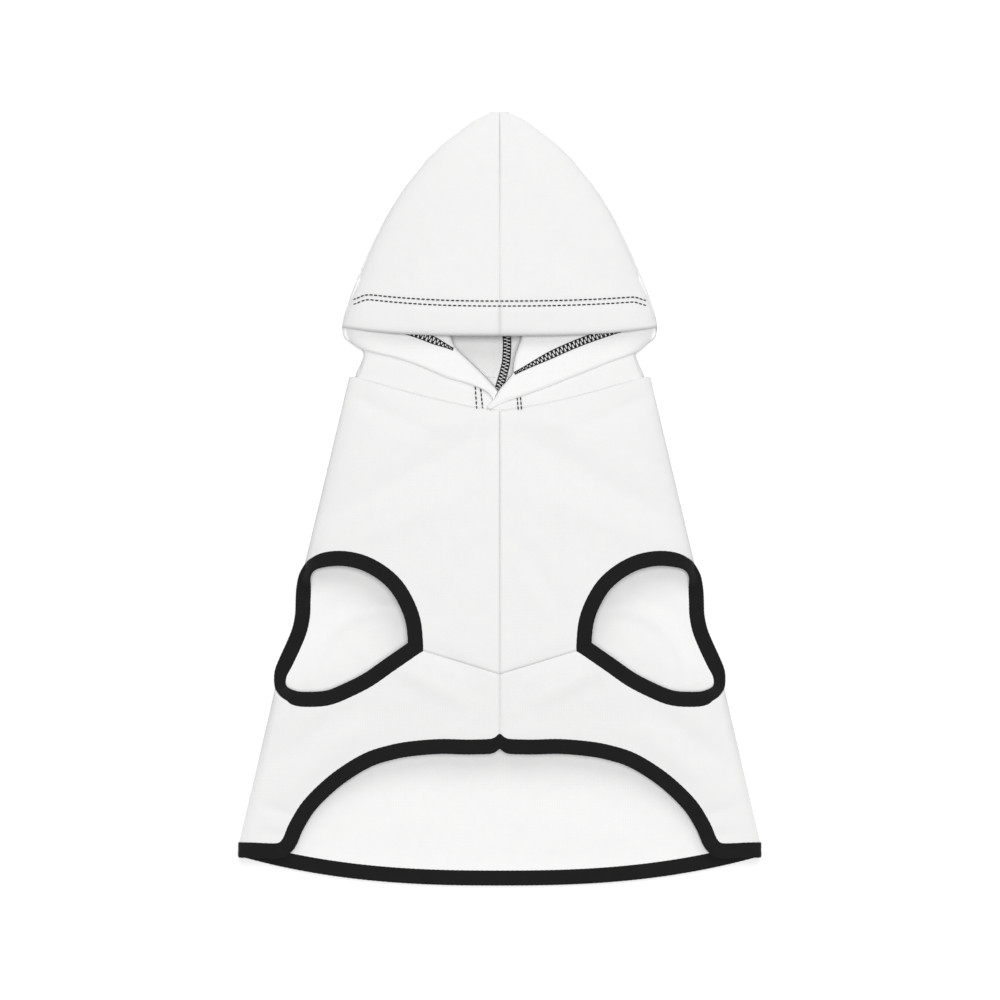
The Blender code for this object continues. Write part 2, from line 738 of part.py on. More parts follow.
def leg_rows():
    """Sections of a leg binding: on the belly side above, on the surface along the back."""
    rows = []
    for point, side in zip(LEG_LINE, LEG_SIDES):
        section = []
        for column in BAND_COLUMNS:
            spot = point + side * column
            high = front_z(min(spot.x, body_half(spot.y)), spot.y)
            spot.z = mix(0.5 * BINDING_THICK, high, ease(point.z))
            section.append(spot)
        rows.append(section)
    return rows


def hem_half_rows():
    """Sections of the hem from the arch's centre, round the side, to the centre of the back."""
    rows = []
    for point, side in zip(HEM_SPOTS, HEM_SIDES):
        section = []
        corner = ease((point.x / TURN_X - CORNER_START) / (1.0 - CORNER_START))
        for column in BAND_COLUMNS:
            spot = point + side * HALF_BAND * column
            spot.z = mix(front_z(spot.x, spot.y), SIDE_RISE + TURN_RADIUS, corner)
            section.append(spot)
        rows.append(section)
    for angle in HEM_TURN_ANGLES:
        turn = math.radians(angle)
        x = TURN_X + TURN_RADIUS * math.sin(turn)
        z = SIDE_RISE + TURN_RADIUS * math.cos(turn)
        rows.append([Vector((x, HEM_SIDE_Y + HALF_BAND * column, z)) for column in BAND_COLUMNS])
    for index in range(HEM_BACK_ROWS + 1):
        x = TURN_X * (1.0 - index / HEM_BACK_ROWS)
        y = back_hem_y(x) + HALF_BAND
        rows.append([Vector((x, y + HALF_BAND * column, 0.5 * BINDING_THICK)) for column in BAND_COLUMNS])
    return rows


def hem_rows():
    """The whole hem as one closed loop."""
    half = hem_half_rows()
    other = []
    for section in reversed(half[:-1]):
        other.append([Vector((-spot.x, spot.y, spot.z)) for spot in section])
    return half + other


def add_material(name, colour, roughness):
    material = bpy.data.materials.new(name)
    material.use_nodes = True
    shader = material.node_tree.nodes["Principled BSDF"]
    shader.inputs["Base Color"].default_value = (*colour, 1.0)
    shader.inputs["Roughness"].default_value = roughness
    shader.inputs["Metallic"].default_value = 0.0
    material.diffuse_color = (*colour, 1.0)
    return material


def build():
    for old in list(bpy.data.objects):
        bpy.data.objects.remove(old)
    collection = bpy.data.collections.new("dog_hoodie")
    bpy.context.scene.collection.children.link(collection)
    garment = bpy.data.objects.new("garment", None)
    collection.objects.link(garment)

    back_columns = BACK_COLUMNS + 2 * len(CURL_ANGLES)
    back_steps = len(back_rows()) - 1
    back = add_material("back_panel", WHITE, CLOTH_ROUGHNESS)
    parts = [add_panel("back_panel", back_place, back_columns, back_steps, 1.0, back, garment)]
    for side_name, side, throat in (("left", -1.0, THROAT_LEFT), ("right", 1.0, THROAT_RIGHT)):
        name = "chest_" + side_name
        cloth = add_material(name, WHITE, CLOTH_ROUGHNESS)
        parts.append(add_panel(name, chest_place, CHEST_COLUMNS, CHEST_ROWS, side, cloth, garment))
        name = "belly_" + side_name
        cloth = add_material(name, WHITE, CLOTH_ROUGHNESS)
        parts.append(add_panel(name, belly_place, BELLY_COLUMNS, BELLY_ROWS, side, cloth, garment))
        name = "hood_" + side_name
        cloth = add_material(name, WHITE, CLOTH_ROUGHNESS)
        parts.append(add_hood(name, side, throat, cloth, garment))
        name = "leg_binding_" + side_name
        binding = add_material(name, BLACK, BINDING_ROUGHNESS)
        parts.append(add_band(name, leg_rows(), binding, garment, side))
    binding = add_material("hem_binding", BLACK, BINDING_ROUGHNESS)
    parts.append(add_band("hem_binding", hem_rows(), binding, garment))
    for part in parts:
        collection.objects.link(part)


build()
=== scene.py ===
# %% [markdown]
# # A dog hoodie laid flat
# The garment lies on its back on a table, belly side up, and is seen from straight above.
# It is white brushed jersey, cut as a back, two chest halves, two belly halves and two hood
# halves, and every raw edge is wrapped in a black jersey tape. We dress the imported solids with
# finer cloth made from the same named sizes, so each new piece lies where its solid does.

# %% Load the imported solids
import bmesh
import bpy
import math
from collections import namedtuple
from mathutils import Matrix, Vector, noise


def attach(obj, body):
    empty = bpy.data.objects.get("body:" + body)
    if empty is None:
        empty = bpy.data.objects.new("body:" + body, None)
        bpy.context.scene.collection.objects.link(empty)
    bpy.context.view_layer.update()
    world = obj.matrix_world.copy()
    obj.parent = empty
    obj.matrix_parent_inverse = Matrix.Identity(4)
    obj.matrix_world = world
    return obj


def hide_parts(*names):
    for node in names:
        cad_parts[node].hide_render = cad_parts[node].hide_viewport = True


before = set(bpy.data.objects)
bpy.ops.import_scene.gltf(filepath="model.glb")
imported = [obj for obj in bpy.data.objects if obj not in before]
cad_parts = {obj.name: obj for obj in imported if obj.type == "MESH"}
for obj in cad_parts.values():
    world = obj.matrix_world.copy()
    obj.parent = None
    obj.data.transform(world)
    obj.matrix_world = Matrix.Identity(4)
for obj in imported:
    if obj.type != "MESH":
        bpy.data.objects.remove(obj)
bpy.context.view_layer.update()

MM = 0.001
print("solids:", sorted(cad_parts))

# %% [markdown]
# ## The camera
# The photograph is a flat lay: the camera looks straight down through a long lens, so that
# edges at different heights keep their places. A focal length for four metres away frames
# 650 mm of table, which is the picture's width at 0.65 mm for each pixel.

# %% Camera above the table
FRAME_WIDTH = 650.0
CAMERA_HEIGHT = 4000.0
SENSOR = 36.0
CENTRE_X = 0.16
CENTRE_Y = -0.49


def add_camera():
    """A long lens straight above the middle of the table."""
    data = bpy.data.cameras.new("camera")
    data.sensor_width = SENSOR
    data.lens = SENSOR * CAMERA_HEIGHT / FRAME_WIDTH
    data.clip_end = 20.0
    camera = bpy.data.objects.new("camera", data)
    camera.location = Vector((CENTRE_X, CENTRE_Y, CAMERA_HEIGHT)) * MM
    bpy.context.scene.collection.objects.link(camera)
    bpy.context.scene.camera = camera
    return data.lens


print("lens in mm:", round(add_camera(), 1))

# %% [markdown]
# ## The garment's sizes
# A pattern cutter works from a few measures: the hood's height, the drop of the face opening,
# the length of the front, and the half widths at neck, shoulder and hem. They are the same
# measures that the solids were built from, in millimetres, with Y = 0 in the middle.

# %% Driving sizes in millimetres
CLOTH = 1.5
HEM_CLOTH = 2.4
SEAM_GAP = 0.02
BINDING_WIDTH = 10.0
BINDING_THICK = 2.4
LAYER = 2.3

HOOD_HEIGHT = 143.6
FACE_DROP = 50.1
FRONT_LENGTH = 210.6
HEM_DROP = 97.8
NECK_SIDE_DROP = 28.2
CENTRE_SEAM = 170.3
HEM_RISE = 16.6

HOOD_HALF = 101.4
NECK_HALF = 87.8
SEAM_HALF = 93.3
SHOULDER_HALF = 97.0
HEM_HALF = 170.0

LEG_IN = 53.0
LEG_TOP = 97.0
LEG_DEPTH = 90.0
LEG_TIP = 5.6

SIDE_RISE = 4.0
BODY_HEIGHT = 28.0
HOOD_CROWN = 29.0
NAPE_HEIGHT = 16.0
TIP_LIFT = 2.4
HEM_DEPTH = 17.5

TIP_Y = 0.5 * (HOOD_HEIGHT + FACE_DROP + FRONT_LENGTH + HEM_DROP)
RIM_Y = TIP_Y - HOOD_HEIGHT
THROAT_Y = RIM_Y - FACE_DROP
ARCH_Y = THROAT_Y - FRONT_LENGTH
HEM_Y = ARCH_Y - HEM_DROP
NECK_SIDE_Y = RIM_Y - NECK_SIDE_DROP
NECK_DROP = NECK_SIDE_Y - THROAT_Y
APEX_Y = THROAT_Y - CENTRE_SEAM
LEG_TOP_Y = THROAT_Y - LEG_TOP
ARCH_MID_Y = ARCH_Y - 0.5 * BINDING_WIDTH
FLOOR_MID = 0.5 * CLOTH
HALF_BAND = 0.5 * BINDING_WIDTH
HEM_CURVE_HALF = 0.937 * HEM_HALF
HEM_CURVE_POWER = 2.5
TURN_RADIUS = SIDE_RISE - 0.5 * BINDING_THICK
TURN_X = HEM_HALF - 0.5 * BINDING_THICK - TURN_RADIUS
HEM_SIDE_Y = HEM_Y + HEM_RISE * (TURN_X / HEM_CURVE_HALF) ** HEM_CURVE_POWER + HALF_BAND
ARCH_DEPTH = ARCH_MID_Y - HEM_SIDE_Y
SIDE_SLOPE = (HEM_HALF - SHOULDER_HALF) / (NECK_SIDE_Y - HEM_SIDE_Y)
LEG_SIDE = SHOULDER_HALF + SIDE_SLOPE * (NECK_SIDE_Y - LEG_TOP_Y)
LEG_SPAN = 1.245 * (LEG_SIDE - LEG_IN)
print("length", round(TIP_Y - HEM_Y, 1), "width", 2 * HEM_HALF, "throat at", round(THROAT_Y, 1))

# %% [markdown]
# ## Curves through short tables
# An outline is kept as a few rows of shares, and a smooth curve runs through them. It is a
# cubic that leaves each row with the slope of its two neighbours, so nothing kinks.


# %% Smooth curves and tables
def mix(start, end, share):
    return start + (end - start) * share


def clamp(value, low=0.0, high=1.0):
    return min(high, max(low, value))


def ease(value):
    """Smooth step from 0 to 1."""
    value = clamp(value)
    return value * value * (3.0 - 2.0 * value)


def bell(distance, reach):
    """1 at the place itself, and nearly 0 past twice the reach."""
    return math.exp(-((distance / reach) ** 2))


def smooth_between(before, start, end, after, share):
    """Cubic from start to end that keeps the slope of its neighbours."""
    lead = 0.5 * (end - before)
    trail = 0.5 * (after - start)
    square = share * share
    cube = square * share
    return (
        (2 * cube - 3 * square + 1) * start
        + (cube - 2 * square + share) * lead
        + (3 * square - 2 * cube) * end
        + (cube - square) * trail
    )


def read_table(rows, column, key, value):
    """Value of one column of a table where its key column has the given value."""
    keys = [getattr(row, key) for row in rows]
    values = [getattr(row, column) for row in rows]
    if value <= keys[0]:
        return values[0]
    for low in range(len(rows) - 1):
        if value <= keys[low + 1]:
            share = (value - keys[low]) / (keys[low + 1] - keys[low])
            before = values[max(0, low - 1)]
            after = values[min(len(rows) - 1, low + 2)]
            return smooth_between(before, values[low], values[low + 1], after, share)
    return values[-1]


def table(columns, *rows):
    """Rows of a short table, with its columns named."""
    Row = namedtuple("Row", columns)
    return [Row(*row) for row in rows]


def smooth_line(points, steps=8):
    """Dense line through the points."""
    line = []
    last = len(points) - 1
    for low in range(last):
        before = points[max(0, low - 1)]
        after = points[min(last, low + 2)]
        for step in range(steps):
            line.append(smooth_between(before, points[low], points[low + 1], after, step / steps))
    line.append(points[last].copy())
    return line


class Line:
    """A dense line that can be read at a share of its length."""

    def __init__(self, points):
        self.points = points
        self.lengths = [0.0]
        for low in range(len(points) - 1):
            self.lengths.append(self.lengths[-1] + (points[low + 1] - points[low]).length)
        self.length = self.lengths[-1]

    def at(self, share):
        target = clamp(share) * self.length
        low, high = 0, len(self.points) - 1
        while high - low > 1:
            middle = (low + high) // 2
            if self.lengths[middle] <= target:
                low = middle
            else:
                high = middle
        span = max(1e-9, self.lengths[high] - self.lengths[low])
        return self.points[low].lerp(self.points[high], (target - self.lengths[low]) / span)

    def right_of(self, share, reach=0.004):
        """Unit vector to the right of the line's direction, in plan."""
        direction = self.at(share + reach) - self.at(share - reach)
        return Vector((direction.y, -direction.x, 0.0)).normalized()


test_line = Line(smooth_line([Vector((0, 0, 0)), Vector((30, 10, 0)), Vector((60, 0, 0))]))
print("test curve, mm:", round(test_line.length, 1))

# %% [markdown]
# ## How the cloth lies
# A laid garment is a flattened tube. Across it, the top layer rises steeply at the side folds
# and is nearly level in the middle, like a squashed ellipse. Down it, the height follows how
# much air is trapped: most at the chest, little at the hem. One function gives the height of
# the belly side anywhere, and every panel, tape and stitch on it reads that function.

# %% Heights of the belly side
BODY_HEIGHTS = table(
    "down height",
    (0.00, 0.66),
    (0.10, 0.84),
    (0.25, 0.97),
    (0.40, 1.00),
    (0.60, 0.95),
    (0.75, 0.76),
    (0.85, 0.58),
    (1.00, 0.38),
)
DOME_POWER = 2.2
NECK_SEAM_POWER = 1.3


def dome(share):
    """Height of a puffed tube over its half width: 1 in the middle and 0 at the side."""
    return max(0.0, 1.0 - abs(share) ** DOME_POWER) ** 0.5


def body_half(y):
    """Half width of the body, which widens evenly from shoulder to hem."""
    return SHOULDER_HALF + SIDE_SLOPE * (NECK_SIDE_Y - y)


def neck_seam_y(x):
    """The neck seam dips from the shoulders to the throat."""
    share = min(1.0, abs(x) / SEAM_HALF)
    return NECK_SIDE_Y - NECK_DROP * (1.0 - share ** NECK_SEAM_POWER)


print("half widths at shoulder and hem:", round(body_half(NECK_SIDE_Y)), round(body_half(HEM_SIDE_Y)))

# %% [markdown]
# ## Folds
# Flat cloth still keeps soft folds where a seam pulls or where it was handled. Each row of the
# table is one fold: a short line with a width, and a rise that is negative for a valley. The
# sum of bell-shaped ridges along these lines gives the drape that the photograph shows, and a
# little smooth noise gives the hand of the cloth.

# %% Folds of the body
BODY_FOLDS = table(
    "out_a down_a out_b down_b wide rise",
    (0.56, -0.04, 0.30, 0.06, 4.0, -0.05),
    (0.36, 0.09, 0.18, 0.03, 3.5, 0.03),
    (0.66, 0.36, 0.10, 0.10, 7.5, -0.12),
    (0.74, 0.43, 0.26, 0.29, 6.5, 0.06),
    (0.24, 0.62, 0.10, 0.44, 4.5, -0.04),
    (0.28, 0.73, 0.10, 0.80, 4.0, -0.04),
    (0.40, 0.78, 0.17, 0.88, 4.0, 0.04),
    (0.88, 1.10, 0.60, 0.93, 5.0, -0.06),
    (0.80, 1.16, 0.56, 0.99, 5.0, 0.04),
    (0.90, 1.22, 0.76, 1.25, 2.5, -0.03),
    (0.045, 0.02, 0.045, 0.38, 2.0, 0.02),
    (0.89, 1.30, 0.78, 1.315, 2.0, -0.02),
)
SEAM_WIDE = 1.6
SEAM_DIP = 0.28
FOLD_ENDS = 1.6
BROAD_WAVE, BROAD_RISE = 34.0, 0.55
FINE_WAVE, FINE_RISE = 11.0, 0.14
BODY_SEED = 3.0


def fold_height(folds, out, down, out_unit, down_unit, rise_unit):
    """Sum of the folds at one point."""
    height = 0.0
    here = Vector((out, down))
    for fold in folds:
        start = Vector((fold.out_a * out_unit, fold.down_a * down_unit))
        end = Vector((fold.out_b * out_unit, fold.down_b * down_unit))
        along = end - start
        share = (here - start).dot(along) / along.length_squared
        distance = (here - start - along * share).length / (fold.wide * CLOTH)
        fade = (FOLD_ENDS * (share - 0.5)) ** 4
        height += fold.rise * rise_unit * math.exp(-distance * distance - fade)
    return height


def cloth_hand(x, y, seed):
    """Gentle unevenness of laid cloth, in millimetres."""
    broad = noise.noise(Vector((x / BROAD_WAVE, y / BROAD_WAVE, seed)))
    fine = noise.noise(Vector((x / FINE_WAVE, y / FINE_WAVE, seed + 9.0)))
    return BROAD_RISE * broad + FINE_RISE * fine


def seam_dip(distance):
    """A stitched seam draws the cloth down into a narrow furrow."""
    return -SEAM_DIP * bell(distance, SEAM_WIDE)


def smooth_front_z(x, y):
    """Middle of the cloth of the belly side, before seams and unevenness."""
    down = (NECK_SIDE_Y - y) / (NECK_SIDE_Y - HEM_SIDE_Y)
    height = BODY_HEIGHT * read_table(BODY_HEIGHTS, "height", "down", down)
    puff = dome(x / body_half(y))
    fold = fold_height(BODY_FOLDS, abs(x), THROAT_Y - y, HEM_HALF, FRONT_LENGTH, BODY_HEIGHT)
    side = SIDE_RISE + SEAM_GAP
    return side + (height - side) * puff + fold * min(1.0, 2.0 * puff)


def front_z(x, y):
    """Middle of the cloth of the belly side; unevenness dies out at the side folds."""
    puff = dome(x / body_half(y))
    return smooth_front_z(x, y) + cloth_hand(x, y, BODY_SEED) * min(1.0, 1.5 * puff)


print("height over the chest, mm:", round(front_z(20.0, -20.0), 1))

# %% [markdown]
# ## Leg holes
# A leg hole is cut partly from the belly side and partly from the back, and one tape runs all
# round it. We keep the middle of that tape as a loop: it starts at the sharp inner corner,
# climbs over the hole, drops over the side fold to the back, and returns along the belly. The
# lift column says how much of the belly side's height the tape has: 1 above, 0 on the table.

# %% Middle line of the leg tape
LEG_LOOP = table(
    "out down lift",
    (0.013, 0.617, 1.0),
    (0.029, 0.448, 1.0),
    (0.076, 0.310, 1.0),
    (0.155, 0.180, 1.0),
    (0.264, 0.082, 1.0),
    (0.394, 0.014, 1.0),
    (0.531, -0.015, 1.0),
    (0.661, -0.008, 1.0),
    (0.758, 0.028, 1.0),
    (0.812, 0.100, 1.0),
    (0.826, 0.195, 0.3),
    (0.830, 0.289, 0.0),
    (0.834, 0.397, 0.0),
    (0.856, 0.505, 0.0),
    (0.899, 0.614, 0.0),
    (0.949, 0.722, 0.0),
    (0.994, 0.830, 0.0),
    (0.985, 0.930, 0.5),
    (0.892, 0.989, 1.0),
    (0.783, 1.000, 1.0),
    (0.639, 0.986, 1.0),
    (0.495, 0.928, 1.0),
    (0.350, 0.852, 1.0),
    (0.206, 0.751, 1.0),
    (0.013, 0.617, 1.0),
)
LEG_TIP_SIDE = Vector((-0.83, -0.55, 0.0)).normalized() * LEG_TIP
LEG_STEPS = 10
ON_TOP = 0.99


def leg_point(row):
    """A row of the loop as a point in plan, with its lift in place of a height."""
    return Vector((LEG_IN + row.out * LEG_SPAN, LEG_TOP_Y - row.down * LEG_DEPTH, row.lift))


LEG_LINE = smooth_line([leg_point(row) for row in LEG_LOOP], LEG_STEPS)


def plan_sides(line):
    """Unit vectors to the left of a dense line, in plan, at each of its points."""
    sides = []
    for index in range(len(line)):
        direction = line[min(index + 1, len(line) - 1)] - line[max(index - 1, 0)]
        sides.append(Vector((-direction.y, direction.x, 0.0)).normalized())
    return sides


LEG_SIDES = [side * HALF_BAND for side in plan_sides(LEG_LINE)]
LEG_SIDES[0] = LEG_TIP_SIDE
LEG_SIDES[-1] = LEG_TIP_SIDE
HALF_LOOP = len(LEG_LINE) // 2
TUCK = 0.72


def leg_edge(points, sides):
    """Where the cloth ends inside the tape, from the inner corner to the side fold."""
    edge = []
    for point, side in zip(points, sides):
        outer = point + side * TUCK
        outer.z = 0.0
        over = outer.x - body_half(outer.y)
        if over >= 0.0:
            crossing = edge[-1].lerp(outer, under / (under + over))
            edge.append(Vector((body_half(crossing.y), crossing.y, 0.0)))
            return edge
        under = -over
        edge.append(outer)
    return edge


UPPER_EDGE = Line(leg_edge(LEG_LINE[:HALF_LOOP], LEG_SIDES[:HALF_LOOP]))
LOWER_EDGE = Line(leg_edge(LEG_LINE[:HALF_LOOP:-1], LEG_SIDES[:HALF_LOOP:-1]))
BACK_EDGE = [point - side * TUCK for point, side in zip(LEG_LINE, LEG_SIDES) if point.z < ON_TOP]
LEG_CORNER = UPPER_EDGE.at(0.0)
print("cloth edge round a leg hole, mm:", round(UPPER_EDGE.length), round(LOWER_EDGE.length))

# %% [markdown]
# ## The belly arch and the hem
# The belly is cut away in an arch, so that the dog keeps its coat dry. The tape follows the
# arch, turns level near the side, goes round the side fold and runs back along the hem of the
# back. Its two ends meet at the middle of the arch in a small peak.

# %% Middle line of the hem tape on the belly side
ARCH_LINE = table(
    "out down",
    (0.000, 0.020),
    (0.115, 0.028),
    (0.229, 0.023),
    (0.344, 0.047),
    (0.421, 0.084),
    (0.497, 0.144),
    (0.574, 0.251),
    (0.650, 0.391),
    (0.727, 0.581),
    (0.776, 0.772),
    (0.806, 0.935),
    (0.840, 1.000),
    (0.899, 1.000),
    (0.955, 1.000),
)
PEAK_RISE = 3.2
PEAK_WIDE = 2.8
PEAK_POWER = 1.5
END_SHARE = 0.005


def front_hem_line():
    """Middle of the tape from the arch's peak to the side fold, in plan."""
    points = []
    for row in ARCH_LINE:
        points.append(Vector((row.out * HEM_HALF, ARCH_MID_Y - row.down * ARCH_DEPTH, 0.0)))
    line = smooth_line(points)
    line.append(Vector((TURN_X, HEM_SIDE_Y, 0.0)))
    return Line(line)


def back_hem_y(x):
    """Outer edge of the hem at the back."""
    return HEM_Y + HEM_RISE * (abs(x) / HEM_CURVE_HALF) ** HEM_CURVE_POWER


FRONT_HEM = front_hem_line()


def front_hem_side(share):
    """Direction from the tape to its cloth, in plan."""
    if share < END_SHARE or share > 1.0 - END_SHARE:
        return Vector((0.0, 1.0, 0.0))
    return -FRONT_HEM.right_of(share)


def arch_peak(x):
    """Rise of the small peak where the tape's two ends meet."""
    return PEAK_RISE * math.exp(-abs(x / PEAK_WIDE) ** PEAK_POWER)


print("tape over the belly, mm:", round(2 * FRONT_HEM.length))

# %% [markdown]
# ## Making a panel
# A panel starts as a flat grid of squares with its own UV map, and each vertex is moved to its
# place on the garment by a function of two shares, across and down. Solidify gives the cloth
# its thickness, half on each side. That keeps the squares even, which a fold needs to look
# soft, and the edges close by themselves.


# %% Panel helpers
def new_grid(across, down, place):
    """Grid mesh whose vertices are moved by a function of the shares across and down."""
    mesh = bmesh.new()
    mesh.loops.layers.uv.new("cut")
    bmesh.ops.create_grid(mesh, x_segments=across, y_segments=down, size=0.5, calc_uvs=True)
    for vertex in mesh.verts:
        vertex.co = place(vertex.co.x + 0.5, 0.5 - vertex.co.y) * MM
    return mesh


def flip_mesh(mesh, side):
    """Mirrors a left-hand or right-hand piece, with its faces kept outward."""
    if side > 0:
        return
    for vertex in mesh.verts:
        vertex.co.x = -vertex.co.x
    bmesh.ops.reverse_faces(mesh, faces=mesh.faces)


def add_object(name, mesh, material, inside=None):
    """The mesh as a smooth object at the origin; a second material is for its inside."""
    data = bpy.data.meshes.new(name)
    mesh.to_mesh(data)
    mesh.free()
    data.materials.append(material)
    if inside:
        data.materials.append(inside)
    data.shade_smooth()
    piece = bpy.data.objects.new(name, data)
    bpy.context.scene.collection.objects.link(piece)
    return piece


def add_wall(piece, thickness, weights=None, even=True):
    """Cloth thickness as a modifier, half on each side of the sheet."""
    wall = piece.modifiers.new("wall", "SOLIDIFY")
    wall.thickness = thickness * MM
    wall.offset = 0.0
    wall.use_even_offset = even
    wall.material_offset = len(piece.data.materials) - 1
    if weights:
        group = piece.vertex_groups.new(name="wall")
        for index, weight in enumerate(weights):
            group.add([index], weight, "REPLACE")
        wall.vertex_group = group.name
    shading = piece.modifiers.new("cut edge shading", "WEIGHTED_NORMAL")
    shading.weight = 100
    shading.keep_sharp = False


def triangles(piece):
    """Triangles of a piece with its modifiers."""
    evaluated = piece.evaluated_get(bpy.context.evaluated_depsgraph_get())
    mesh = evaluated.to_mesh()
    mesh.calc_loop_triangles()
    count = len(mesh.loop_triangles)
    evaluated.to_mesh_clear()
    return count


def sheet_area(piece):
    """Area of the sheet itself, without its thickness, in square metres."""
    return sum(face.area for face in piece.data.polygons)


print("helpers ready")

# %% [markdown]
# ## Materials
# The cloth is cotton jersey: knitted in fine loops, so close that from a metre away only a
# soft, matt, slightly mottled white shows. The tape is the same knit dyed black. Both are
# rough, with a faint sheen from loose fibres. The knit's wales are drawn in the bump at
# 1.1 mm, a little coarser than real, because finer ones would be lost between pixels.


# %% Colour and node helpers
def linear(hex_code):
    """sRGB hex colour to linear values."""
    values = [int(hex_code[index:index + 2], 16) / 255.0 for index in (0, 2, 4)]
    steps = [v / 12.92 if v <= 0.04045 else ((v + 0.055) / 1.055) ** 2.4 for v in values]
    return (*steps, 1.0)


def add_node(tree, kind, settings=None, links=None):
    """Adds a node. Settings name its properties or inputs; links name an input and a socket."""
    node = tree.nodes.new(kind)
    for name, value in (settings or {}).items():
        if name in node.inputs:
            node.inputs[name].default_value = value
        else:
            setattr(node, name, value)
    for name, socket in (links or {}).items():
        tree.links.new(socket, node.inputs[name])
    return node


def new_material(name, colour, roughness, sheen):
    """A matt material of one colour, with its shader for whoever adds more."""
    material = bpy.data.materials.new(name)
    material.use_nodes = True
    shader = material.node_tree.nodes["Principled BSDF"]
    shader.inputs["Base Color"].default_value = linear(colour)
    shader.inputs["Roughness"].default_value = roughness
    shader.inputs["Sheen Weight"].default_value = sheen
    shader.inputs["Sheen Roughness"].default_value = 0.6
    shader.inputs["Specular IOR Level"].default_value = 0.2
    return material, shader


print("white is", [round(v, 3) for v in linear("F2F2F1")])

# %% [markdown]
# Jersey's face shows columns of small V loops. A wave across the cloth makes the columns, a
# finer wave along them makes the rows, and fibres blur both: that is the noise. The colour
# varies by one or two steps at most, as undyed white cotton does.

# %% Brushed jersey
WALE = 1.1
COURSE = 0.9
MOTTLE = 9.0
FIBRE = 0.7
WAVE_PERIOD = 0.314
RELIEF_DEPTH = 0.15
WALES = {"bands_direction": "X", "Scale": WAVE_PERIOD / (WALE * MM), "Distortion": 1.2}
COURSES = {"bands_direction": "Y", "Scale": WAVE_PERIOD / (COURSE * MM), "Distortion": 1.6}
WANDER = {"Detail": 1.0, "Detail Scale": 2.0}


def jersey(name, dark, light, roughness, sheen, relief):
    """Knitted cloth: a mottled colour, and a bump of wales, courses and fibres."""
    material, shader = new_material(name, light, roughness, sheen)
    tree = material.node_tree
    at = {"Vector": add_node(tree, "ShaderNodeTexCoord").outputs["Object"]}
    mottle = add_node(tree, "ShaderNodeTexNoise", {"Scale": 1.0 / (MOTTLE * MM), "Detail": 3.0}, at)
    colours = add_node(tree, "ShaderNodeMix", {"data_type": "RGBA"})
    colours.inputs[6].default_value = linear(dark)
    colours.inputs[7].default_value = linear(light)
    tree.links.new(mottle.outputs["Fac"], colours.inputs[0])
    tree.links.new(colours.outputs[2], shader.inputs["Base Color"])
    wales = add_node(tree, "ShaderNodeTexWave", {**WALES, **WANDER}, at)
    courses = add_node(tree, "ShaderNodeTexWave", {**COURSES, **WANDER}, at)
    fibres = add_node(tree, "ShaderNodeTexNoise", {"Scale": 1.0 / (FIBRE * MM), "Detail": 4.0}, at)
    knit = add_node(
        tree, "ShaderNodeMath", {"operation": "MULTIPLY"},
        {0: wales.outputs["Fac"], 1: courses.outputs["Fac"]},
    )
    surface = add_node(
        tree, "ShaderNodeMath", {"operation": "ADD"},
        {0: knit.outputs[0], 1: fibres.outputs["Fac"]},
    )
    bump = add_node(
        tree, "ShaderNodeBump", {"Strength": relief, "Distance": RELIEF_DEPTH * MM},
        {"Height": surface.outputs[0]},
    )
    tree.links.new(bump.outputs["Normal"], shader.inputs["Normal"])
    return material


WHITE_JERSEY = jersey("brushed_white_cotton_jersey", "E9E9E9", "EDEDEC", 0.92, 0.05, 0.3)
# The inside cloth is painted a step lighter than the outside, to make up for the shade inside the
# hood and the leg holes.
INSIDE_JERSEY_PAINTED_LIGHTER = jersey("inside_jersey_painted_lighter_against_shade", "EEEEEE", "F3F3F2", 0.95, 0.05, 0.3)
BLACK_TAPE = jersey("black_cotton_jersey_tape", "101011", "171718", 0.85, 0.03, 0.6)
THREAD = new_material("black_polyester_thread", "141415", 0.6, 0.05)[0]
print("materials:", WHITE_JERSEY.name, BLACK_TAPE.name, THREAD.name)

# %% [markdown]
# ## The back
# The back is the layer on the table, seen through the leg holes and below the arch. It is
# level, and its sides turn up to meet the belly side halfway up the side fold. Beside a leg
# hole it ends inside the leg tape instead, and near any tape it lifts by the tape's half
# thickness. The inside of the cloth keeps a few soft waves.

# %% Back panel
BACK_MIDDLE = 90
BACK_ROWS = 110
CURL_STEPS = 8
TAPE_REACH = 9.0
CURL_FADE, CURL_RETURN, CURL_END = 0.16, 0.12, 1.20
INSET_FADE, INSET_END = 0.14, 1.08
WAVE_ACROSS, WAVE_DOWN, BACK_SEED = 38.0, 30.0, 21.0
SIDE_CALM, HEM_CALM = 40.0, 30.0
HEM_MARGIN = 12.0
LEG_FOLD_MIDDLE = Vector((22.0, 78.0))
RIDGE_REACH, RIDGE_WIDE, RIDGE_RISE = 47.0, 5.0, 1.3
VALLEY_REACH, VALLEY_WIDE, VALLEY_DROP = 56.0, 6.0, 0.8
LEG_FOLD_FADE = 20.0
HEM_START = 0.80
HEM_TUCK = 4.0
HEM_OVERLAP = 0.85


def curl_at(y):
    """How far the side of the back turns up: none beside the leg hole."""
    down = (LEG_TOP_Y - y) / LEG_DEPTH
    beside_leg = ease((down + CURL_FADE) / CURL_FADE) * ease((CURL_END - down) / CURL_RETURN)
    return 1.0 - beside_leg


def inset_at(y):
    """How far the edge has moved in from the side line to the leg tape."""
    down = (LEG_TOP_Y - y) / LEG_DEPTH
    return ease(down / INSET_FADE) * ease((INSET_END - down) / INSET_FADE)


def notch_half(y):
    """Half width to the leg tape where it runs along the back."""
    if y >= BACK_EDGE[0].y:
        return BACK_EDGE[0].x
    for upper, lower in zip(BACK_EDGE, BACK_EDGE[1:]):
        if lower.y <= y <= upper.y:
            return mix(upper.x, lower.x, (upper.y - y) / (upper.y - lower.y))
    return BACK_EDGE[-1].x


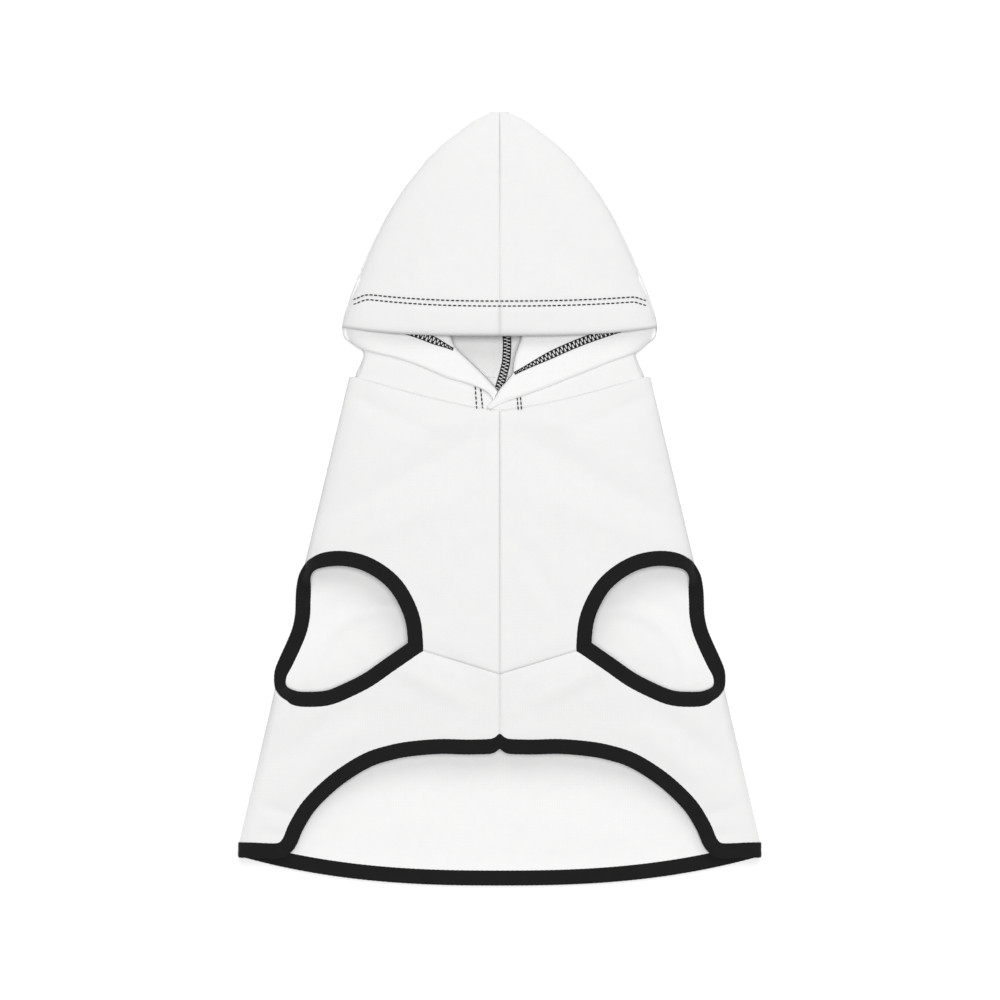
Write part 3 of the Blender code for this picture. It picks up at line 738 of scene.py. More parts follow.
def back_wave(x, y):
    """Soft waves of the inside of the back, level at its edges."""
    room = ease((body_half(y) - abs(x)) / SIDE_CALM) * ease((y - HEM_Y - HEM_MARGIN) / HEM_CALM)
    return room * (0.9 + 1.1 * noise.noise(Vector((x / WAVE_ACROSS, y / WAVE_DOWN, BACK_SEED))))


def leg_fold(x, y):
    """The arc-shaped fold that shows through each leg hole: a ridge with a valley outside it."""
    spot = Vector((abs(x) - LEG_IN, LEG_TOP_Y - y))
    reach = (spot - LEG_FOLD_MIDDLE).length
    ridge = RIDGE_RISE * bell(reach - RIDGE_REACH, RIDGE_WIDE)
    return ridge - VALLEY_DROP * bell(reach - VALLEY_REACH, VALLEY_WIDE)


def back_place(across, down):
    """A point of the back: level in the middle, curling up at the sides."""
    y = mix(NECK_SIDE_Y - SEAM_GAP, HEM_SIDE_Y + HEM_TUCK, down)
    half = mix(body_half(y), notch_half(y), inset_at(y))
    curl = curl_at(y)
    columns = BACK_MIDDLE + 2 * CURL_STEPS
    column = round(across * columns)
    edge_column = min(column, columns - column)
    side = -1.0 if across < 0.5 else 1.0
    radius = SIDE_RISE - FLOOR_MID - 0.5 * SEAM_GAP
    flat_half = half - radius
    if edge_column < CURL_STEPS:
        angle = math.radians(90.0) * (1.0 - edge_column / CURL_STEPS)
        reach = mix(angle / math.radians(90.0), math.sin(angle), curl)
        x = side * (flat_half + radius * reach)
        z = FLOOR_MID + curl * radius * (1.0 - math.cos(angle))
    else:
        x = flat_half * mix(-1.0, 1.0, (column - CURL_STEPS) / BACK_MIDDLE)
        z = FLOOR_MID
    hem_y = back_hem_y(x) + BINDING_WIDTH * HEM_OVERLAP
    y = mix(y, hem_y, ease((down - HEM_START) / (1.0 - HEM_START)))
    near_hem = ease(1.0 - (y - hem_y) / TAPE_REACH)
    near_leg = inset_at(y) * ease(1.0 - (half - abs(x)) / TAPE_REACH)
    z += (0.5 * BINDING_THICK - FLOOR_MID) * max(near_hem, near_leg)
    free = (1.0 - near_hem) * (1.0 - near_leg)
    lift = max(0.0, back_wave(x, y) + leg_fold(x, y) * ease((half - abs(x)) / LEG_FOLD_FADE))
    return Vector((x, y, z + lift * free))


def add_back():
    """The back panel; its fleecy inside shows, in a white painted lighter against the shade."""
    mesh = new_grid(BACK_MIDDLE + 2 * CURL_STEPS, BACK_ROWS, back_place)
    bmesh.ops.reverse_faces(mesh, faces=mesh.faces)
    piece = add_object("back_cloth", mesh, INSIDE_JERSEY_PAINTED_LIGHTER)
    add_wall(piece, CLOTH)
    return piece


back_cloth = add_back()
print("back:", triangles(back_cloth), "triangles,", round(sheet_area(back_cloth), 4), "m2")

# %% [markdown]
# ## Chest and belly halves
# The chest half hangs from the neck seam and ends below at the V seam and the leg tape. The
# belly half starts there and ends in the hem tape. Both are mirrored for the other side. At
# each seam the cloth dips into a furrow, as a stitched seam does.

# %% Chest and belly panels
SEAM_COLUMNS = 24
SIDE_COLUMNS = 44
CHEST_ROWS = 90
BELLY_ROWS = 50
SEAM_SHARE = 0.36
SIDE_CROWD = 1.3
FAR = 99.0


def seam_point(column, edge, shift):
    """Point on the V seam, or past the inner corner on the edge inside the leg tape."""
    if column > SEAM_COLUMNS:
        return edge.at((column - SEAM_COLUMNS) / SIDE_COLUMNS)
    start = Vector((0.5 * SEAM_GAP, APEX_Y, 0.0))
    point = start.lerp(edge.at(0.0), column / SEAM_COLUMNS)
    return Vector((point.x, point.y + shift, 0.0))


def panel_z(x, y, seams):
    """Height of a panel with the furrows of its seams, given as distances."""
    dip = sum(seam_dip(distance) for distance in seams)
    return front_z(x, y) + dip * dome(x / body_half(y))


def seam_line_y(x):
    """The V seam in plan."""
    return mix(APEX_Y, LEG_CORNER.y, abs(x) / LEG_CORNER.x)


def v_distance(x, y):
    """Distance from the V seam, down the garment."""
    if abs(x) > LEG_CORNER.x:
        return FAR
    return abs(y - seam_line_y(x))


def chest_place(across, down):
    """A point of the chest half, between the neck seam and the V seam or leg tape."""
    column = round(across * (SEAM_COLUMNS + SIDE_COLUMNS))
    if column <= SEAM_COLUMNS:
        share = SEAM_SHARE * column / SEAM_COLUMNS
    else:
        past = (column - SEAM_COLUMNS) / SIDE_COLUMNS
        share = mix(SEAM_SHARE, 1.0, 1.0 - (1.0 - past) ** SIDE_CROWD)
    top_x = max(0.5 * SEAM_GAP, share * body_half(NECK_SIDE_Y))
    top = Vector((top_x, neck_seam_y(top_x), 0.0))
    point = top.lerp(seam_point(column, UPPER_EDGE, 0.5 * SEAM_GAP), down)
    if column == SEAM_COLUMNS + SIDE_COLUMNS:
        point.x = body_half(point.y)
    neck = point.y - neck_seam_y(point.x)
    point.z = panel_z(point.x, point.y, (point.x, v_distance(point.x, point.y), neck))
    return point


def belly_place(across, down):
    """A point of the belly half, between the V seam or leg tape and the hem tape."""
    column = round(across * (SEAM_COLUMNS + SIDE_COLUMNS))
    top = seam_point(column, LOWER_EDGE, -0.5 * SEAM_GAP)
    bottom = FRONT_HEM.at(across) + front_hem_side(across) * HALF_BAND * TUCK
    bottom.y += arch_peak(bottom.x)
    if column == 0:
        bottom.x = 0.5 * SEAM_GAP
    if column == SEAM_COLUMNS + SIDE_COLUMNS:
        bottom = Vector((body_half(HEM_SIDE_Y + HEM_TUCK), HEM_SIDE_Y + HEM_TUCK, 0.0))
    point = top.lerp(bottom, down)
    if column == SEAM_COLUMNS + SIDE_COLUMNS:
        point.x = body_half(point.y)
    point.z = panel_z(point.x, point.y, (point.x, v_distance(point.x, point.y)))
    return point


def add_panel(name, place, rows, side):
    """A chest or belly half, mirrored for the left."""
    mesh = new_grid(SEAM_COLUMNS + SIDE_COLUMNS, rows, place)
    flip_mesh(mesh, side)
    piece = add_object(name, mesh, WHITE_JERSEY)
    add_wall(piece, CLOTH)
    return piece


SIDES = (("left", -1.0), ("right", 1.0))
chests, bellies = {}, {}
for name, side in SIDES:
    chests[name] = add_panel("chest_cloth_" + name, chest_place, CHEST_ROWS, side)
for name, side in SIDES:
    bellies[name] = add_panel("belly_cloth_" + name, belly_place, BELLY_ROWS, side)
print("chest half:", triangles(chests["left"]), "belly half:", triangles(bellies["left"]))

# %% [markdown]
# ## The tapes
# A jersey tape is folded over the raw edge and held by two rows of stitching, which press two
# shallow grooves into it. Its section is a flattened loop. We sweep that loop along the middle
# line as a grid that closes on itself both ways, and weld where it meets.

# %% Section of the tape
SECTION = 28
GROOVES = (0.62, 0.0)
GROOVE_DEPTH = 0.22
GROOVE_WIDE = 0.09
PUCKER = 0.12
EDGE_BEAT = 0.012
FLATNESS, FULLNESS = 0.4, 0.45
STITCH_PITCH = 3.2


def tape_section(turn, along):
    """Share across and share of the height at a turn round the tape's section."""
    angle = 2.0 * math.pi * turn
    across = math.copysign(abs(math.cos(angle)) ** FLATNESS, math.cos(angle))
    high = math.copysign(abs(math.sin(angle)) ** FULLNESS, math.sin(angle))
    for groove in GROOVES:
        high *= 1.0 - GROOVE_DEPTH * bell(across - groove, GROOVE_WIDE)
    beat = math.sin(2.0 * math.pi * along / STITCH_PITCH)
    return across * (1.0 + EDGE_BEAT * beat), high * (1.0 + PUCKER * beat * (1.0 - abs(across)))


def add_tape(name, place, rows, side=1.0):
    """Closed tape: place gives a spot from a share along and a section point."""
    mesh = bmesh.new()
    mesh.loops.layers.uv.new("cut")
    bmesh.ops.create_grid(mesh, x_segments=SECTION, y_segments=rows, size=0.5, calc_uvs=True)
    for vertex in mesh.verts:
        vertex.co = place((0.5 - vertex.co.y) % 1.0, vertex.co.x + 0.5) * MM
    bmesh.ops.remove_doubles(mesh, verts=mesh.verts, dist=0.00001)
    flip_mesh(mesh, side)
    bmesh.ops.recalc_face_normals(mesh, faces=mesh.faces)
    return add_object(name, mesh, BLACK_TAPE)


LEG_ROWS = 260
LEG_LENGTH = Line(LEG_LINE).length
LEG_CORNER_SHARE = 0.004


def leg_middle(share):
    """Point and side vector of the leg tape at a share of its loop."""
    place = share * (len(LEG_LINE) - 1)
    low = min(int(place), len(LEG_LINE) - 2)
    point = LEG_LINE[low].lerp(LEG_LINE[low + 1], place - low)
    side = LEG_SIDES[low].lerp(LEG_SIDES[low + 1], place - low)
    if LEG_CORNER_SHARE < share < 1.0 - LEG_CORNER_SHARE:
        side = side.normalized() * HALF_BAND
    return point, side


def leg_tape_z(spot, lift):
    """Middle of the leg tape: on the belly side, on the table, or between at the side fold."""
    high = front_z(min(spot.x, body_half(spot.y)), spot.y)
    return mix(0.5 * BINDING_THICK, high, ease(lift))


FOLD_OVERS = (
    Vector((LEG_IN + 0.80 * LEG_SPAN, LEG_TOP_Y - 0.07 * LEG_DEPTH, 0.0)),
    Vector((LEG_IN + 0.985 * LEG_SPAN, LEG_TOP_Y - 0.90 * LEG_DEPTH, 0.0)),
)
NARROWED = 0.26
NARROW_REACH = 9.0


def narrowing(point):
    """The tape looks narrower where it folds over the side of the garment."""
    share = sum(bell((point - spot).xy.length, NARROW_REACH) for spot in FOLD_OVERS)
    return 1.0 - NARROWED * share


def leg_tape_place(along, turn):
    """A point of the leg tape's skin."""
    point, side = leg_middle(along)
    across, high = tape_section(turn, along * LEG_LENGTH)
    spot = point + side * across * narrowing(point)
    spot.z = leg_tape_z(spot, point.z) + 0.5 * BINDING_THICK * high
    return spot


leg_tapes = {}
for name, side in SIDES:
    leg_tapes[name] = add_tape("leg_tape_" + name, leg_tape_place, LEG_ROWS, side)
print("leg tape:", triangles(leg_tapes["left"]), "triangles, length", round(LEG_LENGTH))

# %% [markdown]
# The hem tape is one loop: over the arch, round the side fold, and along the back. The share
# of the loop is shared out by length, so that its stitches stay even.

# %% Hem tape
HEM_ROWS = 760
TURN_LENGTH = math.pi * TURN_RADIUS
CORNER_SHARE = 0.85
BACK_HEM_STEPS = 40
BACKWARD = Vector((0.0, 1.0, 0.0))


def back_hem_line():
    """Middle of the tape along the back, from the side fold to the centre."""
    line = []
    for step in range(BACK_HEM_STEPS + 1):
        x = TURN_X * (1 - step / BACK_HEM_STEPS)
        line.append(Vector((x, back_hem_y(x) + HALF_BAND, 0.0)))
    return Line(line)


BACK_HEM = back_hem_line()
HEM_HALF_LENGTH = FRONT_HEM.length + TURN_LENGTH + BACK_HEM.length


def hem_middle(travel):
    """Point, side vector and upward vector of the hem tape at a distance from the arch's peak."""
    up = Vector((0.0, 0.0, 1.0))
    if travel <= FRONT_HEM.length:
        share = travel / FRONT_HEM.length
        point = FRONT_HEM.at(share)
        point.y += arch_peak(point.x)
        return point, front_hem_side(share), up, "front"
    travel -= FRONT_HEM.length
    if travel <= TURN_LENGTH:
        turn = travel / TURN_RADIUS
        outward = Vector((math.sin(turn), 0.0, math.cos(turn)))
        x = TURN_X + TURN_RADIUS * outward.x
        return Vector((x, HEM_SIDE_Y, SIDE_RISE + TURN_RADIUS * outward.z)), BACKWARD, outward, "turn"
    share = (travel - TURN_LENGTH) / BACK_HEM.length
    point = BACK_HEM.at(share)
    point.z = 0.5 * BINDING_THICK
    side = BACK_HEM.right_of(share) if share > 2.0 * END_SHARE else BACKWARD
    return point, side, -up, "back"


def hem_tape_place(along, turn):
    """A point of the hem tape's skin; the second half of the loop mirrors the first."""
    mirrored = along > 0.5
    travel = 2.0 * (1.0 - along if mirrored else along) * HEM_HALF_LENGTH
    point, side, up, where = hem_middle(travel)
    across, high = tape_section(turn, travel)
    spot = point + side * HALF_BAND * across
    if where == "front":
        corner = ease((point.x / TURN_X - CORNER_SHARE) / (1.0 - CORNER_SHARE))
        spot.z = mix(front_z(spot.x, spot.y), SIDE_RISE + TURN_RADIUS, corner)
    spot += up * 0.5 * BINDING_THICK * high
    if mirrored:
        spot.x = -spot.x
    return spot


hem_tape = add_tape("hem_tape", hem_tape_place, HEM_ROWS)
print("hem tape:", triangles(hem_tape), "triangles, length", round(2 * HEM_HALF_LENGTH))

# %% [markdown]
# ## The hood
# Each half of the hood is one cloth: from the seam over the crown, down the side and round
# under the nape. Its front edge is hemmed. At the forehead the hem lies on top; at the side of
# the face it turns back on itself, and below that the front edge rolls outward like a lapel,
# so the inside of the hem shows. The right edge crosses over the left at the throat. We build
# the half as one grid in the shape of an L: the upper rows run from the crown's seam to the
# nape, and the lower rows start at the free edge.

# %% Hood tables
HOOD_OUTLINE = table(
    "down half crown",
    (0.000, 0.050, 0.19),
    (0.036, 0.151, 0.28),
    (0.077, 0.234, 0.37),
    (0.145, 0.356, 0.48),
    (0.213, 0.458, 0.57),
    (0.348, 0.606, 0.70),
    (0.484, 0.721, 0.80),
    (0.620, 0.817, 0.89),
    (0.756, 0.894, 0.96),
    (0.891, 0.965, 1.00),
    (1.000, 1.000, 0.98),
)
NECK_SIDE = table(
    "lower half down",
    (0.000, 1.130, 0.00),
    (0.125, 1.085, 0.16),
    (0.250, 1.040, 0.28),
    (0.375, 1.008, 0.38),
    (0.500, 0.998, 0.50),
    (0.625, 1.012, 0.63),
    (0.750, 1.030, 0.76),
    (0.875, 1.050, 0.88),
    (1.000, 1.063, 1.00),
)
THROAT_LEFT = table(
    "lower edge_out edge_down roll_out roll_down",
    (0.000, 1.000, -0.084, 0.327, 0.010),
    (0.030, 1.000, 0.000, 0.322, 0.035),
    (0.070, 0.984, 0.055, 0.315, 0.068),
    (0.125, 0.940, 0.130, 0.305, 0.117),
    (0.250, 0.853, 0.221, 0.280, 0.208),
    (0.375, 0.673, 0.312, 0.228, 0.312),
    (0.500, 0.519, 0.416, 0.160, 0.440),
    (0.625, 0.340, 0.571, 0.100, 0.560),
    (0.750, 0.200, 0.650, 0.055, 0.660),
    (0.875, 0.070, 0.780, 0.015, 0.760),
    (1.000, 0.020, 0.970, -0.015, 0.960),
)
THROAT_RIGHT = table(
    "lower edge_out edge_down roll_out roll_down",
    (0.000, 1.000, -0.084, 0.147, 0.052),
    (0.030, 1.000, 0.000, 0.142, 0.083),
    (0.070, 0.984, 0.055, 0.134, 0.122),
    (0.125, 0.942, 0.132, 0.122, 0.182),
    (0.250, 0.865, 0.247, 0.103, 0.312),
    (0.375, 0.700, 0.375, 0.093, 0.416),
    (0.500, 0.509, 0.532, 0.088, 0.519),
    (0.625, 0.300, 0.700, 0.051, 0.623),
    (0.750, 0.141, 0.818, 0.005, 0.727),
    (0.875, 0.025, 0.900, -0.019, 0.805),
    (1.000, -0.062, 0.985, -0.080, 0.965),
)
HOOD_FOLDS = table(
    "out_a down_a out_b down_b wide rise",
    (0.06, 0.35, 0.06, 0.80, 4.0, -0.05),
    (0.20, 0.25, 0.55, 0.60, 6.0, 0.05),
    (0.30, 0.60, 0.75, 0.85, 6.0, -0.05),
)
print("hood rows:", len(HOOD_OUTLINE), "throat rows:", len(THROAT_LEFT))

# %% [markdown]
# The heights of the hood come from two functions: the crown's layer, and the neck's layer
# below it, which carries the rolled edge one layer higher. The seam over the crown draws the
# cloth in, and small puckers show near its tip.

# %% Heights of the hood
RIM_DROP = 1.4
RIM_ARC = 5.6
RIM_CURL = 1.6


def rim_y(x):
    """The forehead edge hangs a little in the middle and rises towards the sides."""
    return RIM_Y - RIM_DROP + RIM_ARC * (abs(x) / HOOD_HALF) ** 3


HEM_ROW_GAP = 3.25
HEM_ROW_Y = RIM_Y + HEM_DEPTH - 0.3
HEM_ROW_RISE = {-1.0: 4.0, 1.0: 2.5}
HEM_ROW_TURN = 3.0
HEM_ROW_LIMIT = 4.4
HEM_ROW_CURVE = 2.4
HEM_ROW_SPAN, HEM_ROW_BEND, HEM_ROW_FADE = 80.0, 86.0, 10.0


def hem_row_y(x, signed_x, row):
    """Height up the hood of the hem's twin rows, which rise outward and turn down at the sides."""
    rise = HEM_ROW_RISE[math.copysign(1.0, signed_x)] * (abs(x) / HEM_ROW_SPAN) ** HEM_ROW_CURVE
    turn = HEM_ROW_TURN * ease((abs(x) - HEM_ROW_BEND) / HEM_ROW_FADE)
    return HEM_ROW_Y + HEM_ROW_GAP * row + min(rise, HEM_ROW_LIMIT) - turn


TIP_SHARE = 0.12
TIP_LAYERS = 0.35
CROWN_SEED, NECK_SEED = 14.0, 31.0
PUCKER_RISE, PUCKER_LENGTH, PUCKER_WIDE = 0.35, 1.7, 5.0
PUCKER_START, PUCKER_FADE = 195.0, 20.0
HEM_PRESS, HEM_PRESS_WIDE = 0.45, 2.6
RIM_CURL_WIDE = 1.6


def hood_section(down):
    """Half width, crown height, floor and top of the side fold at a share down the crown."""
    half = HOOD_HALF * read_table(HOOD_OUTLINE, "half", "down", down)
    crown = HOOD_CROWN * read_table(HOOD_OUTLINE, "crown", "down", down)
    near_tip = max(0.0, 1.0 - down / TIP_SHARE)
    floor = FLOOR_MID + TIP_LIFT * near_tip ** 2
    top = floor + 3.0 * LAYER * mix(1.0, TIP_LAYERS, near_tip)
    return half, crown, floor, top


def hood_top_z(x, y, sign):
    """Middle of the cloth over the crown."""
    down = clamp((TIP_Y - y) / HOOD_HEIGHT)
    half, crown, floor, top = hood_section(down)
    puff = dome(x / half)
    fold = fold_height(HOOD_FOLDS, x, TIP_Y - y, HOOD_HALF, HOOD_HEIGHT, HOOD_CROWN)
    settle = ease(3.0 * down)
    hand = cloth_hand(x * sign, y, CROWN_SEED) * 1.2 * settle * min(1.0, 1.5 * puff)
    pucker = PUCKER_RISE * math.sin(y / PUCKER_LENGTH) * bell(x, PUCKER_WIDE)
    pucker *= ease((y - PUCKER_START) / PUCKER_FADE)
    hem = -HEM_PRESS * bell(y - hem_row_y(x, x * sign, 0.5), HEM_PRESS_WIDE)
    curl = -RIM_CURL * bell(y - rim_y(x), RIM_CURL_WIDE)
    dip = (seam_dip(x) + pucker * settle + hem + curl) * puff
    return top + (crown - top) * puff + fold * puff * settle + hand + dip


def neck_z(x, y, lower, sign):
    """Middle of the cloth of the neck, under the rolled edge."""
    half = NECK_HALF * read_table(NECK_SIDE, "half", "lower", lower)
    side = FLOOR_MID + LAYER
    rim = side + (NAPE_HEIGHT - side) * dome(x / half)
    seam = seam_dip(y - neck_seam_y(x)) * dome(x / half)
    hand = 0.7 * cloth_hand(x * sign, y, NECK_SEED) * (1.0 - lower) * dome(x / half)
    return mix(rim, front_z(x, y), lower) + throat_lift(x, lower, sign) + seam + hand


CROSS_HALF, CROSS_FADE, CROSS_LIFT = 0.30, 0.22, 1.15
SEWN_START, SEWN_SHARE = 0.6, 0.35


def throat_lift(x, lower, sign):
    """The right edge crosses over the left one at the throat; the seam draws both together."""
    near = ease((CROSS_HALF * NECK_HALF - abs(x)) / (CROSS_FADE * NECK_HALF))
    sewn = mix(1.0, SEWN_SHARE, ease((lower - SEWN_START) / (1.0 - SEWN_START)))
    return sign * CROSS_LIFT * LAYER * near * ease(2.0 * lower) * sewn


print("crown height, mm:", round(hood_top_z(0.0, RIM_Y + 5.0, 1.0), 1))

# %% [markdown]
# One row of the hood is a list of points from its first column to the nape. Where the cloth
# folds, the points go round a small turn: at the side of the face, at the rolled edge and at
# the side of the neck.

# %% Rows of a hood half
TOP_COLUMNS = 46
TURN_COLUMNS = 16
NECK_COLUMNS = 22
FLOOR_COLUMNS = 22
UPPER_ROWS = 84
LOWER_ROWS = 44
ROW_CROWD = 1.25
FLOOR_CROWD = 1.5
PLEAT_START = 0.72
SETTLE_LENGTH = 8.0
TURN_SHARE = 0.45
EDGE_DROOP, DROOP_REACH = 1.1, 2.2
ROLL_REACH = 0.9
NAPE_WAVE, NAPE_WAVE_X, NAPE_WAVE_Y, NAPE_SEED = 1.2, 30.0, 26.0, 5.0
FURROW_DEPTH, FURROW_WIDE = 0.4, 2.0


def spread(count, power=1.0):
    """Even shares between 0 and 1, without the ends."""
    return [((index + 1) / (count + 1)) ** power for index in range(count)]


def round_shares(count):
    """Shares that crowd towards both ends, for the turns there."""
    return [0.5 - 0.5 * math.cos(math.pi * share) for share in spread(count)]


def side_fold(half, y, floor, top, share):
    """A point on the plain side fold, from the crown's layer down and round to the table."""
    radius = TURN_SHARE * (top - floor)
    straight = top - floor - radius
    travel = share * (straight + 0.5 * math.pi * radius)
    if travel < straight:
        return Vector((half, y, top - travel))
    angle = (travel - straight) / radius
    x = half - radius * (1.0 - math.cos(angle))
    return Vector((x, y, floor + radius * (1.0 - math.sin(angle))))


def turned_part(edge, roll, side_point, lower, sign):
    """Points from the free edge over the roll to the side of the neck."""
    points = []
    for share in round_shares(TURN_COLUMNS):
        point = edge.lerp(roll, share)
        gap = (point - roll).xy.length
        free = (point - edge).xy.length
        level = neck_z(point.x, point.y, lower, sign) + LAYER
        droop = EDGE_DROOP * bell(free, DROOP_REACH) if lower > 0.0 else 0.0
        point.z = level - droop - 0.5 * LAYER * bell(gap, ROLL_REACH)
        points.append(point)
    middle = roll.copy()
    middle.z = neck_z(roll.x, roll.y, lower, sign) + 0.5 * LAYER
    points.append(middle)
    for share in round_shares(NECK_COLUMNS):
        point = roll.lerp(side_point, share)
        if lower > 0.0:
            point.y = mix(point.y, neck_seam_y(point.x), ease(lower) ** 4)
        gap = (point - roll).xy.length
        level = neck_z(point.x, point.y, lower, sign)
        point.z = level + 0.5 * LAYER * bell(gap, ROLL_REACH)
        points.append(point)
    return points


def floor_part(side, floor):
    """Points under the nape, from the side fold to the centre seam."""
    points = []
    for index in range(FLOOR_COLUMNS):
        share = ((index + 1) / FLOOR_COLUMNS) ** FLOOR_CROWD
        x = max(0.5 * SEAM_GAP, side.x * (1.0 - share))
        swell = noise.noise(Vector((x / NAPE_WAVE_X, side.y / NAPE_WAVE_Y, NAPE_SEED)))
        wave = NAPE_WAVE * ease((side.x - x) / NAPE_WAVE_X) * (0.5 + 0.5 * swell)
        furrow = FURROW_DEPTH * bell(x, FURROW_WIDE) * ease(wave)
        settle = 1.0 - ease(share * 6.0)
        points.append(Vector((x, side.y, mix(floor + wave - furrow, side.z, settle))))
    return points


def upper_row(index, throat, sign):
    """Crown, side fold and nape; the front's pleat grows towards the forehead edge."""
    down = (index / UPPER_ROWS) ** ROW_CROWD
    half, crown, floor, top = hood_section(down)
    line_y = TIP_Y - down * HOOD_HEIGHT
    points = []
    for column in range(TOP_COLUMNS):
        x = max(0.5 * SEAM_GAP, math.sin(0.5 * math.pi * column / TOP_COLUMNS) * half)
        y = line_y + (rim_y(x) - RIM_Y) * ease(down) ** 2
        points.append(Vector((x, y, hood_top_z(x, y, sign))))
    y = line_y + (rim_y(HOOD_HALF) - RIM_Y) * ease(down) ** 2
    pleat = ease((down - PLEAT_START) / (1.0 - PLEAT_START))
    roll = Vector((mix(half, throat[0].roll_out * HOOD_HALF, pleat), y, 0.0))
    settled = clamp((half - roll.x) / SETTLE_LENGTH)
    edge = Vector((half, y, mix(top, top - 0.5 * LAYER, settled)))
    side_point = Vector((half, y, floor + 0.5 * LAYER))
    folded = turned_part(edge, roll, side_point, 0.0, sign) + [side_point]
    points.append(edge)
    for step, point in enumerate(folded):
        plain = side_fold(half, y, floor, top, (step + 1) / len(folded))
        points.append(plain.lerp(point, settled))
    points.extend(floor_part(points[-1], floor))
    return points


def lower_row(index, throat, sign):
    """From the free edge over the roll, down the neck's side and under the nape."""
    lower = index / LOWER_ROWS
    half = NECK_HALF * read_table(NECK_SIDE, "half", "lower", lower)
    y = RIM_Y - NECK_SIDE_DROP * read_table(NECK_SIDE, "down", "lower", lower)
    at = {name: read_table(throat, name, "lower", lower) for name in throat[0]._fields[1:]}
    edge = Vector((at["edge_out"] * HOOD_HALF, RIM_Y - at["edge_down"] * FACE_DROP, 0.0))
    roll = Vector((at["roll_out"] * HOOD_HALF, RIM_Y - at["roll_down"] * FACE_DROP, 0.0))
    edge.z = neck_z(edge.x, edge.y, lower, sign) + LAYER
    top = FLOOR_MID + 3.0 * LAYER
    start = ease(6.0 * lower)
    edge.z = mix(top - 0.5 * LAYER, edge.z - EDGE_DROOP, start)
    side_point = Vector((half, y, FLOOR_MID + 0.5 * LAYER))
    points = [None] * TOP_COLUMNS + [edge]
    points.extend(turned_part(edge, roll, side_point, lower, sign))
    side_point.z = 0.5 * (FLOOR_MID + min(points[-1].z, 2.0 * SIDE_RISE))
    points.append(side_point)
    points.extend(floor_part(side_point, FLOOR_MID))
    return points


def hood_rows(throat, sign):
    """All rows of one hood half, from the tip to the neck seam."""
    rows = [upper_row(index, throat, sign) for index in range(UPPER_ROWS + 1)]
    rows += [lower_row(index, throat, sign) for index in range(1, LOWER_ROWS + 1)]
    return rows


HOOD_ROWS = {"left": hood_rows(THROAT_LEFT, -1.0), "right": hood_rows(THROAT_RIGHT, 1.0)}
print("hood grid:", len(HOOD_ROWS["left"][0]), "columns,", len(HOOD_ROWS["left"]), "rows")

# %% [markdown]
# A hood half takes its vertices from those rows. Places that a row leaves empty are deleted,
# which gives the grid its L shape. The wall's weights make the cloth of the forehead's hem
# thicker than the rest, and thin it out towards the free edge of the roll.

# %% Hood halves
EDGE_TAPER = (0.35, 0.6, 0.85, 0.95)


def add_hood(name, side):
    """One hood half; the hem of the forehead is doubled cloth."""
    rows = HOOD_ROWS[name]
    across = len(rows[0]) - 1
    down = len(rows) - 1
    mesh = bmesh.new()
    mesh.loops.layers.uv.new("cut")
    bmesh.ops.create_grid(mesh, x_segments=across, y_segments=down, size=0.5, calc_uvs=True)
    thick = mesh.verts.layers.float.new("thick")
    loose = []
    for vertex in mesh.verts:
        column = round((vertex.co.x + 0.5) * across)
        row = round((0.5 - vertex.co.y) * down)
        point = rows[row][column]
        if point is None:
            loose.append(vertex)
            continue
        vertex.co = point * MM
        hem_end = hem_row_y(point.x, point.x * side, 0.0) - 1.0
        in_hem = ease((hem_end + 0.6 - point.y) / 1.2) if column < TOP_COLUMNS else 0.0
        vertex[thick] = mix(CLOTH / HEM_CLOTH, 1.0, in_hem)
        if row > UPPER_ROWS and column < TOP_COLUMNS + 4:
            vertex[thick] *= EDGE_TAPER[column - TOP_COLUMNS]
    bmesh.ops.delete(mesh, geom=loose, context="VERTS")
    flip_mesh(mesh, side)
    mesh.verts.index_update()
    weights = [vertex[thick] for vertex in mesh.verts]
    mesh.verts.layers.float.remove(thick)
    # The hood's inside takes the inside cloth, painted lighter against the shade in the hood.
    piece = add_object("hood_cloth_" + name, mesh, WHITE_JERSEY, INSIDE_JERSEY_PAINTED_LIGHTER)
    add_wall(piece, HEM_CLOTH, weights, even=False)
    return piece


hoods = {name: add_hood(name, side) for name, side in SIDES}
print("hood half:", triangles(hoods["left"]), "triangles")

# %% [markdown]
# ## Stitches
# Black thread on white cloth is what the eye finds first. A lockstitch is a row of short
# grains of thread, each sunk a little into the cloth at both ends. We make one grain as a
# small sphere with few faces, stretched by a matrix, once for each stitch of a row, all in one
# mesh. The thread is drawn 1 mm wide, as wide as it looks together with its shadow.

# %% Rows of stitches
STITCH_LENGTH = 2.9
THREAD_WIDE = 1.05


def add_grain(mesh, here, ahead, length, wide):
    """One stitch: a grain of thread between two points on the cloth."""
    middle = (here + ahead) * 0.5
    along = (ahead - here).normalized()
    across = along.cross(Vector((0.0, 0.0, 1.0))).normalized()
    up = across.cross(along)
    turn = Matrix((along, across, up)).transposed().to_4x4()
    size = Matrix.Diagonal((0.5 * length * MM, 0.5 * wide * MM, 0.5 * wide * MM, 1.0))
    bmesh.ops.create_uvsphere(
        mesh, u_segments=6, v_segments=5, radius=1.0,
        matrix=Matrix.Translation(middle * MM) @ turn @ size,
    )


def add_stitch_row(mesh, line, pitch, length, wide):
    """Even stitches along a line that already lies on the cloth."""
    count = max(1, round(line.length / pitch))
    for index in range(count):
        start = (index + 0.5 * (1.0 - length / pitch)) / count
        end = (index + 0.5 * (1.0 + length / pitch)) / count
        add_grain(mesh, line.at(start), line.at(end), length, wide)
    return count


def on_hood(x, y, side):
    """A point on the outside of the crown's cloth."""
    z = hood_top_z(abs(x), y, side) + 0.5 * HEM_CLOTH
    return Vector((x, y, z))


HEM_ROW_HALF = 95.0
HEM_ROW_STEPS = 80


